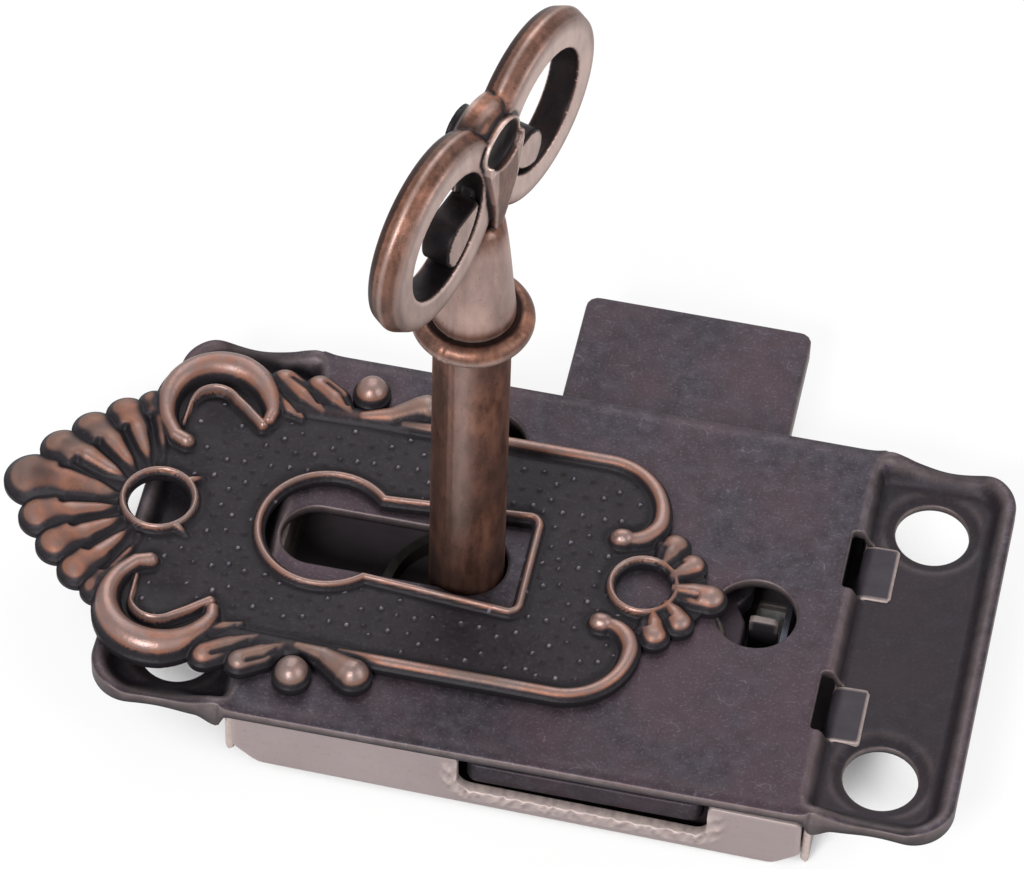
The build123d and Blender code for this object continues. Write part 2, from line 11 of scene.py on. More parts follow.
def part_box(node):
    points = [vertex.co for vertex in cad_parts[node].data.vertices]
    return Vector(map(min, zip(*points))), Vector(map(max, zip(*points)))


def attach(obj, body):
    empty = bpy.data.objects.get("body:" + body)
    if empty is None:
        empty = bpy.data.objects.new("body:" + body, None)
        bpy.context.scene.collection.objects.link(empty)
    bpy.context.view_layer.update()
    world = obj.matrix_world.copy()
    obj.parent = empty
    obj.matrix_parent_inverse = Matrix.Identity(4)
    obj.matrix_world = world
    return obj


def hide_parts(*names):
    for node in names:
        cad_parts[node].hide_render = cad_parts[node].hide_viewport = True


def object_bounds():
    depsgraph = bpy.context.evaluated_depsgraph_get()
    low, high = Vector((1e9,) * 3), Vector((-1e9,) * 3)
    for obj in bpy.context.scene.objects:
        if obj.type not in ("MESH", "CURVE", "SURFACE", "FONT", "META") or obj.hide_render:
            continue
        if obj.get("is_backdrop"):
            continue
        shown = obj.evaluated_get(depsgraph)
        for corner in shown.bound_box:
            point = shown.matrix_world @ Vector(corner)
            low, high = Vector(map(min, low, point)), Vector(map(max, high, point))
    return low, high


bl_info = {
    "name": "Furniture Lock",
    "version": (1, 0, 0),
    "blender": (4, 5, 0),
    "location": "View3D > Sidebar > Lock",
    "description": "Builds a furniture lock with its key and a relief escutcheon",
    "category": "Add Mesh",
}

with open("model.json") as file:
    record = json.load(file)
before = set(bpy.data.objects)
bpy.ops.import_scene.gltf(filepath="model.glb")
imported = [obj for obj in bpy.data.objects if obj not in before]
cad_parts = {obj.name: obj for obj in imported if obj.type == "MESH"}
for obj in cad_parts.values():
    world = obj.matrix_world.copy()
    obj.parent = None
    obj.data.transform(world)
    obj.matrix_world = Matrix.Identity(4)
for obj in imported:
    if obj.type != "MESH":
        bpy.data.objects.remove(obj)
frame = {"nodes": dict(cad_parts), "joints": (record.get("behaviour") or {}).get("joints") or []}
cad_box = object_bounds()
MM = 0.001


def node_span(node):
    """Lowest and highest corner of a CAD node, in millimetres."""
    low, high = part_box(node)
    return np.array(low) / MM, np.array(high) / MM


COVER_LOW, COVER_HIGH = node_span("cover_plate")
CASE_LOW, CASE_HIGH = node_span("case_box")
BOLT_LOW, BOLT_HIGH = node_span("bolt")
KEY_LOW = node_span("key")[0]
PLATE_LOW, PLATE_HIGH = node_span("escutcheon")
TURN = next(j for j in frame["joints"] if j["name"] == "key_turn")
KEY_X = TURN["pos_m"][0] / MM


def length(name, default, description):
    """A size in millimetres, kept in metres as Blender does."""
    return bpy.props.FloatProperty(
        name=name, description=description, default=default * MM, unit="LENGTH", precision=5
    )


def colour(name, default, description):
    """A finish colour."""
    return bpy.props.FloatVectorProperty(
        name=name, description=description, default=default, subtype="COLOR", size=3, min=0, max=1
    )


class LockCoverSettings(bpy.types.PropertyGroup):
    """Sizes of the pressed cover and the folded case."""

    panel_fold: length("Panel Fold", 0.9, "Run of the step from the panel down to an ear")
    rim_rise: length("Rim Rise", 1.3, "Height of an ear's rim over its floor, at the corners")
    rim_dip: length("Rim Dip", 0.55, "How far the rim sags in the middle of an edge")
    rim_width: length("Rim Width", 1.9, "Width of the slope from the rim to the ear's floor")
    dimple: length("Screw Dimple", 0.3, "Depth of the pressed ring round a screw hole")
    sheet: length("Case Sheet", 0.6, "Thickness of the folded case")
    lip: length("Window Lip", 0.3, "How far the sheared lip stands out round the bolt's window")


class LockKeySettings(bpy.types.PropertyGroup):
    """Sizes of the key's casting."""

    bow_angle: bpy.props.FloatProperty(
        name="Bow Angle",
        description="How far the bow and the bit are turned from the length of the case",
        default=math.radians(72),
        subtype="ANGLE",
    )
    edge: length("Edge Rounding", 0.18, "Softness of the casting's edges")
    parting: length("Parting Line", 0.07, "Height of the two fine ridges left by the mould")
    cell: length("Mesh Cell", 0.13, "Size of the mesh's cells on the bow")


class LockReliefSettings(bpy.types.PropertyGroup):
    """Sizes of the escutcheon's relief."""

    field: length("Field Height", 0.62, "Height of the flat field over the back")
    dot: length("Dot Height", 0.16, "Height of the fine dots on the field")
    dot_spacing: length("Dot Spacing", 1.3, "Distance between the fine dots")
    cell: length("Mesh Cell", 0.11, "Size of the mesh's cells")


class LockColours(bpy.types.PropertyGroup):
    """Colours of the finishes."""

    bronze: colour("Bronze Wash", (0.050, 0.042, 0.053), "Dark antique wash on the sheet")
    worn: colour("Worn Bronze", (0.26, 0.205, 0.195), "Where the wash is rubbed off an edge")
    copper: colour("Case Wash", (0.275, 0.225, 0.222), "Pale copper wash on the case")
    steel: colour("Inner Steel", (0.20, 0.18, 0.17), "Plain steel inside the case")
    key_red: colour("Key Copper", (0.235, 0.108, 0.074), "Reddish wash of the key")
    # This pale also paints the highlight down the key's shank.
    key_pale: colour("Rubbed Copper", (0.55, 0.41, 0.37), "Rubbed, paler wash on crests")
    # This near black also paints shade: inside the case on the cover and the bolt, and on the key's shaded
    # sides.
    hollow: colour("Hollows", (0.012, 0.010, 0.012), "Dark patina left in hollows")


SHEET_BLUSH, SHEET_SPECK, SHEET_PIT = (0.056, 0.033, 0.040), (0.11, 0.097, 0.118), (0.018, 0.014, 0.018)
SHEET_SCRATCH = (0.15, 0.12, 0.14)
# The last of these is rubbed bare metal, and on the lug's top edge a painted highlight.
CASE_STREAK, CASE_SPECK, CASE_BARE_AND_GLINT = (0.20, 0.155, 0.15), (0.17, 0.14, 0.14), (0.52, 0.42, 0.39)
STEEL_STAIN = (0.10, 0.065, 0.05)
CAST_SPECK, CAST_RED, CAST_BROWN = (0.06, 0.05, 0.065), (0.17, 0.105, 0.085), (0.095, 0.068, 0.068)
# Painted highlight on the tops of the escutcheon's dots.
DOT_GLINT = (0.24, 0.215, 0.26)
KEY_CLOUD, KEY_GRAIN, KEY_SPECK = (0.06, 0.040, 0.038), (0.27, 0.135, 0.09), (0.03, 0.018, 0.016)


class Socket:
    """A value in a finish's node tree; arithmetic on it adds Math nodes."""

    def __init__(self, finish, output):
        self.finish = finish
        self.output = output

    def math(self, operation, *others):
        return self.finish.add("ShaderNodeMath", {"operation": operation}, (self, *others))

    def __add__(self, other):
        return self.math("ADD", other)

    __radd__ = __add__

    def __mul__(self, other):
        return self.math("MULTIPLY", other)

    __rmul__ = __mul__

    def __sub__(self, other):
        return self.math("SUBTRACT", other)

    def __rsub__(self, other):
        return self.finish.add("ShaderNodeMath", {"operation": "SUBTRACT"}, (other, self))

    def clamp(self):
        return self.finish.add("ShaderNodeClamp", {}, (self, 0.0, 1.0))

    def above(self, level, width):
        """0 below the level, 1 above it, with a soft step of the given width."""
        settings = {"interpolation_type": "SMOOTHSTEP"}
        stops = {"Value": self, "From Min": level - width / 2, "From Max": level + width / 2}
        return self.finish.add("ShaderNodeMapRange", settings, stops)


class Finish:
    """A procedural material whose maths is written as expressions."""

    def __init__(self, name, specular=0.5):
        self.material = bpy.data.materials.new(name)
        self.material.use_nodes = True
        self.tree = self.material.node_tree
        self.shader = self.tree.nodes["Principled BSDF"]
        self.shader.inputs["Specular IOR Level"].default_value = specular

    def feed(self, socket, value):
        """Links a value made by nodes, or sets a plain one."""
        if isinstance(value, Socket):
            self.tree.links.new(value.output, socket)
        else:
            socket.default_value = value

    def add(self, kind, settings=None, values=(), output=0):
        """Adds a node: its settings first, then its inputs by order or by name."""
        node = self.tree.nodes.new(kind)
        for key, value in (settings or {}).items():
            setattr(node, key, value)
        pairs = values.items() if isinstance(values, dict) else enumerate(values)
        for key, value in pairs:
            self.feed(node.inputs[key], value)
        return Socket(self, node.outputs[output])

    def place(self):
        """The point on the piece, in millimetres of the frame at rest."""
        point = self.add("ShaderNodeTexCoord", output="Object")
        return self.add("ShaderNodeVectorMath", {"operation": "SCALE"}, {0: point, "Scale": 1 / MM})

    def stretch(self, point, along):
        """The point with each axis scaled by its own number."""
        return self.add("ShaderNodeVectorMath", {"operation": "MULTIPLY"}, (point, along))

    def noise(self, point, scale, detail, roughness):
        values = {"Vector": point, "Scale": scale, "Detail": detail, "Roughness": roughness}
        return self.add("ShaderNodeTexNoise", {}, values)

    def cells(self, point, scale, feature="F1"):
        values = {"Vector": point, "Scale": scale}
        return self.add("ShaderNodeTexVoronoi", {"feature": feature}, values)

    def attribute(self, name):
        return self.add("ShaderNodeAttribute", {"attribute_name": name}, output="Fac")

    def mix(self, share, low, high):
        """Mixes two colours; plain colours are three numbers."""
        low, high = (v if isinstance(v, Socket) else (*v, 1.0) for v in (low, high))
        return self.add("ShaderNodeMix", {"data_type": "RGBA"}, {0: share, 6: low, 7: high}, output=2)

    def bump(self, height, depth):
        """A bump whose depth is given in millimetres."""
        values = {"Height": height, "Distance": depth * MM, "Strength": 1.0}
        return self.add("ShaderNodeBump", {}, values)

    def close(self, **values):
        """Feeds the surface and returns the material."""
        for key, value in values.items():
            self.feed(self.shader.inputs[key.replace("_", " ").title()], value)
        return self.material


def shades():
    """The colours set for the finishes."""
    return bpy.context.scene.lock_colours


def shaded(tone, share):
    """A colour made darker or lighter by a share."""
    return [c * share for c in tone]


def sheet_bronze(name):
    """Dark, finely speckled wash on pressed steel, rubbed at its edges."""
    tones = shades()
    look = Finish(name, specular=0.18)
    point = look.place()
    cloud = look.noise(point, 0.14, 3.0, 0.55)
    mottle = look.noise(point, 0.8, 4.0, 0.62)
    speck = look.noise(point, 4.2, 3.0, 0.7)
    pits = look.cells(point, 2.3)
    low, high = shaded(tones.bronze, 0.45), shaded(tones.bronze, 1.2)
    base = look.mix(((mottle - 0.35) * 2.2).clamp(), low, high)
    base = look.mix(cloud.above(0.52, 0.3) * 0.6, base, SHEET_BLUSH)
    base = look.mix(speck.above(0.60, 0.12) * 0.36, base, SHEET_SPECK)
    base = look.mix((1 - pits.above(0.13, 0.10)) * 0.4, base, SHEET_PIT)
    warp = look.add("ShaderNodeTexNoise", {}, {"Vector": point, "Scale": 0.35}, output=1)
    sway = (2.5, 2.5, 2.5)
    bent = look.add("ShaderNodeVectorMath", {"operation": "MULTIPLY_ADD"}, (warp, sway, point))
    scratch = look.cells(look.stretch(bent, (0.16, 1.1, 1.0)), 0.7, "DISTANCE_TO_EDGE")
    lines = (1 - scratch.above(0.007, 0.010)) * mottle.above(0.56, 0.12)
    base = look.mix(lines * 0.4, base, SHEET_SCRATCH)
    # The dark layer: painted shade on the cover's underside and on the bolt inside the case and on its
    # tail, and a darker tone on the ears' floors.
    base = look.mix(look.attribute("dark") * 0.7, base, tones.hollow)
    wear = (look.attribute("worn") * (0.45 + mottle)).clamp()
    base = look.mix(wear, base, tones.worn)
    rough = 0.46 + 0.14 * (mottle - 0.5) + 0.08 * speck - 0.08 * wear
    bumps = look.bump(0.5 * speck + 0.5 * mottle, 0.03)
    return look.close(base_color=base, roughness=rough, metallic=0.5, normal=bumps)


def case_wash(name):
    """Pale copper wash on folded steel, a little streaked, darker on the tabs, with painted shade inside
    the case and a painted highlight on the lug's edge.
    """
    tones = shades()
    look = Finish(name, specular=0.2)
    point = look.place()
    cloud = look.noise(point, 0.12, 3.0, 0.5)
    fine = look.noise(point, 2.6, 4.0, 0.65)
    streak = look.noise(look.stretch(point, (0.5, 1.0, 4.0)), 0.8, 3.0, 0.6)
    base = look.mix((cloud - 0.3) * 1.6, shaded(tones.copper, 0.9), shaded(tones.copper, 1.1))
    base = look.mix(streak.above(0.62, 0.2) * 0.16, base, CASE_STREAK)
    base = look.mix(fine.above(0.64, 0.12) * 0.25, base, CASE_SPECK)
    # The dark layer mixes in this dark bronze: painted shade on the inner faces and the lug, and a darker
    # tone on the tabs and between the lip's teeth.
    stain = look.mix(streak, shaded(tones.bronze, 0.35), shaded(tones.bronze, 0.9))
    base = look.mix(look.attribute("dark"), base, stain)
    # Rubbed bare where the worn layer says so; along the lug's top edge this pale is a painted highlight.
    base = look.mix(look.attribute("worn") * (0.3 + 0.9 * fine).clamp(), base, CASE_BARE_AND_GLINT)
    rough = 0.45 + 0.15 * fine
    return look.close(base_color=base, roughness=rough, metallic=0.3, normal=look.bump(fine, 0.02))


def plain_steel(name, blue):
    """Dull turned steel for the pieces inside the case, with a share of tempered blue, darkened all over as
    painted shade.
    """
    tones = shades()
    look = Finish(name)
    point = look.place()
    rings = look.noise(look.stretch(point, (1.0, 1.0, 9.0)), 1.6, 3.0, 0.6)
    stain = look.noise(point, 0.8, 3.0, 0.6)
    # Both tones sit far below the steel colour: painted shade inside the case.
    dark = [c * (0.16 + blue * k) for c, k in zip(tones.steel, (0, 0.05, 0.2))]
    light = [c * (0.5 + blue * k) for c, k in zip(tones.steel, (0, 0.1, 0.4))]
    base = look.mix(rings, dark, light)
    base = look.mix(stain.above(0.6, 0.15) * 0.5, base, STEEL_STAIN)
    rough = 0.36 + 0.25 * stain
    return look.close(base_color=base, roughness=rough, metallic=0.85, normal=look.bump(rings, 0.02))


def box_distance(x, y, low, high, radius=0.0):
    """Signed distance to a rectangle with round corners, negative inside."""
    mid_x, mid_y = (low[0] + high[0]) / 2, (low[1] + high[1]) / 2
    out_x = np.abs(x - mid_x) - (high[0] - low[0]) / 2 + radius
    out_y = np.abs(y - mid_y) - (high[1] - low[1]) / 2 + radius
    outer = np.hypot(np.maximum(out_x, 0), np.maximum(out_y, 0))
    return outer + np.minimum(np.maximum(out_x, out_y), 0) - radius


def disc_distance(x, y, centre, radius):
    """Signed distance to a disc, negative inside."""
    return np.hypot(x - centre[0], y - centre[1]) - radius


def join_all(*distances):
    """Distance to shapes taken together."""
    return np.minimum.reduce(distances)


def cut_all(body, *distances):
    """Distance to a body after shapes are cut out of it."""
    return np.maximum.reduce([body, *(-d for d in distances)])


def swell(value, middle, reach):
    """A soft bell: 1 at its middle, and all but gone at twice its reach."""
    return np.exp(-(((value - middle) / reach) ** 2))


def near_edge(distance, reach):
    """1 on an outline, falling evenly to 0 at the reach on both sides."""
    return np.clip(1 - np.abs(distance) / reach, 0, 1)


def level(height):
    """A height function with the same value everywhere."""
    return lambda x, y: np.full(np.shape(x), height)


def ramp(value, start, end):
    """Smooth step from 0 at start to 1 at end."""
    share = np.clip((value - start) / (end - start), 0, 1)
    return share * share * (3 - 2 * share)


def soft_max(a, b, width):
    """The larger of two heights, with a round join of the given width."""
    gap = np.clip(width - np.abs(a - b), 0, None) / width
    return np.maximum(a, b) + gap * gap * width / 4


def slope_of(outline, x, y, step=0.01):
    """Unit direction in which the outline's distance grows."""
    grow_x = outline(x + step, y) - outline(x - step, y)
    grow_y = outline(x, y + step) - outline(x, y - step)
    size = np.hypot(grow_x, grow_y) + 1e-12
    return grow_x / size, grow_y / size


SNAP_SHARE, SNAP_PULLS, CUT_PULLS, THINNEST_SHARE = 0.35, 3, 2, 0.49


def sheet_cells(outline, low, high, cell, inset):
    """A grid of faces clipped to an outline: points, faces and the edges on its border.

    Grid points near the outline are moved on to it, and the cells it still crosses are cut.
    """
    counts = [max(2, int(round((high[k] - low[k]) / cell)) + 1) for k in (0, 1)]
    x, y = np.meshgrid(*(np.linspace(low[k], high[k], counts[k]) for k in (0, 1)), indexing="ij")

    def inner(px, py):
        return outline(px, py) + inset

    depth = inner(x, y)
    near = np.abs(depth) < SNAP_SHARE * cell
    px, py = x[near], y[near]
    for _ in range(SNAP_PULLS):
        out_x, out_y = slope_of(inner, px, py)
        gap = inner(px, py)
        px, py = px - out_x * gap, py - out_y * gap
    x[near], y[near], depth[near] = px, py, 0.0
    points = [np.column_stack((x.ravel(), y.ravel()))]
    index = np.arange(x.size).reshape(x.shape)
    ring = (index[:-1, :-1], index[1:, :-1], index[1:, 1:], index[:-1, 1:])
    ring = np.stack(ring, -1).reshape(-1, 4)
    depth = depth.ravel()
    sides = np.sign(depth[ring])
    whole = (sides.max(1) <= 0) & (sides.min(1) < 0)
    faces = [tuple(f) for f in ring[whole]]
    split = (sides.max(1) > 0) & (sides.min(1) < 0)
    crossings = {}
    extra = []
    flat = points[0]
    for corners in ring[split]:
        polygon = []
        for a, b in zip(corners, np.roll(corners, -1)):
            if depth[a] <= 0:
                polygon.append(a)
            if depth[a] * depth[b] < 0:
                edge = (min(a, b), max(a, b))
                if edge not in crossings:
                    share = depth[edge[0]] / (depth[edge[0]] - depth[edge[1]])
                    crossings[edge] = x.size + len(extra)
                    extra.append(flat[edge[0]] + share * (flat[edge[1]] - flat[edge[0]]))
                polygon.append(crossings[edge])
        if len(polygon) > 2:
            faces.append(tuple(polygon))
    if extra:
        extra = np.array(extra)
        for _ in range(CUT_PULLS):
            out_x, out_y = slope_of(inner, extra[:, 0], extra[:, 1])
            gap = inner(extra[:, 0], extra[:, 1])
            extra = extra - np.column_stack((out_x * gap, out_y * gap))
        points.append(extra)
    points = np.concatenate(points)
    used = np.unique(np.concatenate([np.asarray(f) for f in faces]))
    order = np.full(len(points), -1)
    order[used] = np.arange(len(used))
    faces = [tuple(int(order[i]) for i in f) for f in faces]
    starts = np.concatenate([np.asarray(f) for f in faces])
    ends = np.concatenate([np.roll(f, -1) for f in faces])
    count = len(used)
    lone = ~np.isin(starts * count + ends, ends * count + starts)
    return points[used], faces, np.column_stack((starts[lone], ends[lone]))


def sheet_mesh(outline, top, under, low, high, cell, round_r, arcs):
    """A closed sheet between two height functions, with its border rolled to a radius.

    low and high bound the grid, arcs counts the steps round each edge. Returns points and faces.
    """
    flat, faces, border = sheet_cells(outline, low, high, cell, round_r)
    x, y = flat.T
    high_z, low_z = top(x, y), under(x, y)
    rim = np.unique(border)
    place = np.full(len(flat), -1)
    place[rim] = np.arange(len(rim))
    out_x, out_y = slope_of(outline, x[rim], y[rim])
    radius = np.minimum(round_r, THINNEST_SHARE * (high_z - low_z)[rim])
    count = len(flat)
    points = [np.column_stack((x, y, high_z)), np.column_stack((x, y, low_z))]
    rings = [rim]
    total = 2 * count
    turns = [math.pi / 2 * k / arcs for k in range(1, arcs + 1)]
    for edge_z, sign, angles in ((high_z, -1, turns), (low_z, 1, turns[::-1])):
        for angle in angles:
            reach = round_r * math.sin(angle)
            rise = sign * radius * (1 - math.cos(angle))
            rolled = (x[rim] + out_x * reach, y[rim] + out_y * reach, edge_z[rim] + rise)
            points.append(np.column_stack(rolled))
            rings.append(np.arange(total, total + len(rim)))
            total += len(rim)
    rings.append(rim + count)
    made = list(faces) + [tuple(i + count for i in reversed(f)) for f in faces]
    a, b = place[border[:, 0]], place[border[:, 1]]
    for upper, lower in zip(rings, rings[1:]):
        made += np.column_stack((upper[b], upper[a], lower[a], lower[b])).tolist()
    return np.concatenate(points), made


def make_piece(name, parts, material, body, node, slot, **layers):
    """Makes the mesh object that replaces a CAD node, from points and faces in millimetres."""
    points, faces, start = [], [], 0
    for part_points, part_faces in parts:
        points.append(np.asarray(part_points, float))
        faces += [tuple(i + start for i in f) for f in part_faces]
        start += len(part_points)
    mesh = bpy.data.meshes.new(name)
    mesh.from_pydata((np.concatenate(points) * MM).tolist(), [], faces)
    mesh.validate()
    mesh.polygons.foreach_set("use_smooth", [True] * len(mesh.polygons))
    for key, values in layers.items():
        layer = mesh.attributes.new(key, "FLOAT", "POINT")
        layer.data.foreach_set("value", np.asarray(values, np.float32))
    mesh.materials.append(material)
    piece = bpy.data.objects.new(name, mesh)
    bpy.context.scene.collection.objects.link(piece)
    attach(piece, body)
    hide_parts(node)


SCREW_X, SCREW_Y, SCREW_R = 25.2, 10.95, 2.65
EAR_X, EAR_Y, EAR_R, EAR_FLOOR = COVER_HIGH[0], 16.35, 3.2, 1.0
WAIST_X, WAIST_REACH, WAIST_DEPTH = 25.6, 2.2, 0.25
PANEL_X, PANEL_Y, PANEL_R, PANEL_UNDER = 21.2, COVER_HIGH[1], 0.5, 1.4
PEEP, PEEP_R = (14.2, 0), 2.95
VENT, VENT_R = (-7.6, 10.9), 2.9
KEYWAY_LEFT, KEYWAY_HALF, KEYWAY_R, SHANK_HOLE_R = -20.2, 2.55, 2.5, 2.95
TAB_Y, TAB_HALF, TAB_FIT = 6.35, 2.4, 0.15
SLOT_LEFT, SLOT_RIGHT, SLOT_R = (-21.4, -19.2), (19.7, 21.4), 0.3
CORNER_KNOB, CORNER_KNOB_R = 0.42, 0.95


def ear_edge(x, y):
    """Distance to the straight outline of the two ears."""
    return box_distance(x, y, (-EAR_X, -EAR_Y), (EAR_X, EAR_Y), EAR_R)


def screw_distance(x, y):
    """Distance to the nearest of the four screw holes."""
    return disc_distance(np.abs(x), np.abs(y), (SCREW_X, SCREW_Y), SCREW_R)


def cover_outline(x, y):
    """The cover's outline with all its holes, seen from above."""
    far = np.abs(x) > PANEL_X - 1
    ears = ear_edge(x, y) + WAIST_DEPTH * swell(np.abs(x), WAIST_X, WAIST_REACH) * far
    panel = box_distance(x, y, (-PANEL_X, -PANEL_Y), (PANEL_X, PANEL_Y), PANEL_R)
    peep = disc_distance(x, y, PEEP, PEEP_R)
    vent = disc_distance(x, y, VENT, VENT_R)
    keyway = box_distance(x, y, (KEYWAY_LEFT, -KEYWAY_HALF), (KEY_X + KEYWAY_R, KEYWAY_HALF), KEYWAY_R)
    shank = disc_distance(x, y, (KEY_X, 0), SHANK_HOLE_R)
    slot_low, slot_high = TAB_Y - TAB_HALF - TAB_FIT, TAB_Y + TAB_HALF + TAB_FIT
    slots = [
        box_distance(x, np.abs(y), (left, slot_low), (right, slot_high), SLOT_R)
        for left, right in (SLOT_LEFT, SLOT_RIGHT)
    ]
    return cut_all(join_all(ears, panel), screw_distance(x, y), peep, vent, keyway, shank, *slots)


def cover_height(x, y):
    """Top of the pressed cover: panel, step, dished ears with rolled rims and dimples."""
    sizes = bpy.context.scene.lock_cover
    panel_z = COVER_HIGH[2]
    ear_share = ramp(np.abs(x), PANEL_X - sizes.panel_fold / MM, PANEL_X + 0.15)
    span_x = (np.abs(x) - (PANEL_X + EAR_X) / 2) / ((EAR_X - PANEL_X) / 2 - 1.2)
    sag_side = 1 - np.clip(span_x, -1, 1) ** 2
    sag_end = 1 - np.clip(np.abs(y) / (EAR_Y - 3.5), 0, 1) ** 4
    near_end = ramp(np.abs(x), EAR_X - 3.2, EAR_X - 1.2)
    sag = np.where(np.abs(y) > EAR_Y - 3, sag_side * (1 - near_end), 0.35 * sag_end * near_end)
    rise = sizes.rim_rise / MM - sizes.rim_dip / MM * sag
    slope = ramp(-ear_edge(x, y), sizes.rim_width / MM, 0.55)
    floor = EAR_FLOOR + rise * slope
    floor -= sizes.dimple / MM * (1 - ramp(screw_distance(x, y), 0.1, 1.1))
    height = panel_z + (floor - panel_z) * ear_share
    knob = np.hypot(np.abs(x) - PANEL_X - 0.1, (np.abs(y) - PANEL_Y + 0.5) * 0.9)
    height += CORNER_KNOB * swell(knob, 0, CORNER_KNOB_R)
    long_edge = PANEL_Y - np.abs(y)
    height -= 0.12 * (1 - ramp(long_edge, 0.0, 0.9)) * (1 - ear_share)
    return height


def cover_under(x, y):
    """Underside of the pressed cover, lifted under the ears' rims."""
    ear_share = ramp(np.abs(x), PANEL_X - 0.75, PANEL_X - 0.1)
    lift = ramp(-ear_edge(x, y), 1.7, 0.4) * 0.75 * ramp(np.abs(x), PANEL_X, PANEL_X + 1.5)
    return PANEL_UNDER * (1 - ear_share) + lift


def build_cover():
    """The pressed cover: its wash is rubbed at crests and top edges, darker in the ears, with painted shade
    on its underside.
    """
    margin, cell, edge_r, near = 0.5, 0.22, 0.22, 0.5
    low, high = COVER_LOW - margin, COVER_HIGH + margin
    points, faces = sheet_mesh(cover_outline, cover_height, cover_under, low, high, cell, edge_r, 3)
    x, y, z = points.T
    top = cover_height(x, y)
    around = [(near * math.cos(t), near * math.sin(t)) for t in np.radians(np.arange(0, 360, 45))]
    fall = top - np.mean([cover_height(x + dx, y + dy) for dx, dy in around], axis=0)
    border = near_edge(cover_outline(x, y), 0.12) * ramp(top - z, 0.35, 0.12)
    wear = np.maximum(0.2 * np.clip(fall / 0.10, 0, 1), 0.6 * border)
    floor = ramp(z, COVER_HIGH[2] - 0.15, 1.75) * (np.abs(x) > PANEL_X - 1.5)
    # Darker on the ears' low floors; painted shade on the underside and the lower side of the cut edges.
    dark = np.maximum(floor * (1 - wear), ramp(top - z, 0.15, 0.4))
    look = sheet_bronze("cover bronze")
    part = (points, faces)
    make_piece("pressed_cover", [part], look, "case", "cover_plate", "cover_bronze", worn=wear, dark=dark)


TAIL_EXTRA, BOLT_CORNER_R = 0.55, 0.9
BAY_RIGHT, BAY_LOW, BAY_HIGH, BAY_R = 6.25, -1.52, 12.52, 0.8
STUD_X, STUD_SLOT_R, STUD_SLOT_LOW, STUD_SLOT_HIGH = 9.875, 1.5, -3.1, 10.9
NOTCH_DEPTH, NOTCH_FLARE, NOTCHES_Y = 0.8, 0.615, (-9.0, 2.0)


def bolt_outline(x, y):
    """The bolt plate with the bay for the key's bit, the stud's slot and two notches."""
    body = box_distance(x, y, (BOLT_LOW[0], BOLT_LOW[1] - TAIL_EXTRA), BOLT_HIGH[:2], BOLT_CORNER_R)
    bay = box_distance(x, y, (BOLT_LOW[0] - 4, BAY_LOW), (BAY_RIGHT, BAY_HIGH), BAY_R)
    slot_low, slot_high = (STUD_X - STUD_SLOT_R, STUD_SLOT_LOW), (STUD_X + STUD_SLOT_R, STUD_SLOT_HIGH)
    slot = box_distance(x, y, slot_low, slot_high, STUD_SLOT_R)
    notch_x = BOLT_HIGH[0] - NOTCH_DEPTH
    notches = [(notch_x - x + np.abs(y - mid) * NOTCH_FLARE) * 0.85 for mid in NOTCHES_Y]
    return cut_all(body, bay, slot, *notches)


def build_bolt():
    """The bolt: its plate waves a little, and painted shade darkens it inside the case and on its tail."""
    margin, cell, edge_r = 0.5, 0.3, 0.22

    def top(x, y):
        return BOLT_HIGH[2] - 0.02 * np.sin(x * 0.9) * np.sin(y * 0.31 + 1)

    low, high = BOLT_LOW - margin, BOLT_HIGH + margin
    points, faces = sheet_mesh(bolt_outline, top, level(BOLT_LOW[2]), low, high, cell, edge_r, 3)
    x, y, _ = points.T
    inside = ramp(y, CASE_HIGH[1], CASE_HIGH[1] - 1) * ramp(y, CASE_LOW[1] + 0.5, CASE_LOW[1] + 1.2)
    wear = 0.35 * near_edge(bolt_outline(x, y), 0.2) * (1 - inside) * (y > 0)
    # Painted shade: on the part inside the case, and on the tail under the cover's edge.
    dark = np.maximum(0.55 * inside, 0.45 * (y < 0))
    look = sheet_bronze("bolt bronze")
    make_piece("sliding_bolt", [(points, faces)], look, "bolt", "bolt", "bolt_bronze", worn=wear, dark=dark)


def folded(points, corners, radii):
    """Folds a flat sheet: its y runs along a path of straight runs and round bends.

    corners are the path's corner points (a, b), and radii the bend at each inner corner. The
    sheet's z counts inwards from the path, to the left of its direction. Returns a and b.
    """
    corners = [np.array(c, float) for c in corners]
    runs = []
    travel = 0.0
    here = corners[0]
    for k in range(1, len(corners)):
        to = corners[k] - corners[k - 1]
        way = to / np.hypot(*to)
        if k < len(corners) - 1:
            after = corners[k + 1] - corners[k]
            after = after / np.hypot(*after)
            turn = math.atan2(way[0] * after[1] - way[1] * after[0], float(way @ after))
            trim = radii[k - 1] * math.tan(abs(turn) / 2)
        else:
            turn, trim = 0.0, 0.0
        end = corners[k] - way * trim
        runs.append((travel, here, way, None, 0.0))
        travel += float(np.hypot(*(end - here)))
        if turn:
            side = math.copysign(1, turn)
            normal = np.array((-way[1], way[0])) * side
            runs.append((travel, end + normal * radii[k - 1], way, radii[k - 1], side))
            travel += radii[k - 1] * abs(turn)
            here = corners[k] + after * trim
    along, depth = points[:, 1], points[:, 2]
    a, b = np.zeros(len(points)), np.zeros(len(points))
    bounds = [r[0] for r in runs] + [np.inf]
    for k, (begin, place, way, radius, side) in enumerate(runs):
        low = -np.inf if k == 0 else begin
        pick = (along >= low) & (along < bounds[k + 1])
        s, t = along[pick] - begin, depth[pick]
        normal = np.array((-way[1], way[0]))
        if radius is None:
            a[pick] = place[0] + way[0] * s + normal[0] * t
            b[pick] = place[1] + way[1] * s + normal[1] * t
        else:
            angle = side * s / radius
            arm = radius - side * t
            spin_x = -normal[0] * side * np.cos(angle) + normal[1] * side * np.sin(angle)
            spin_y = -normal[1] * side * np.cos(angle) - normal[0] * side * np.sin(angle)
            a[pick] = place[0] + spin_x * arm
            b[pick] = place[1] + spin_y * arm
    return a, b


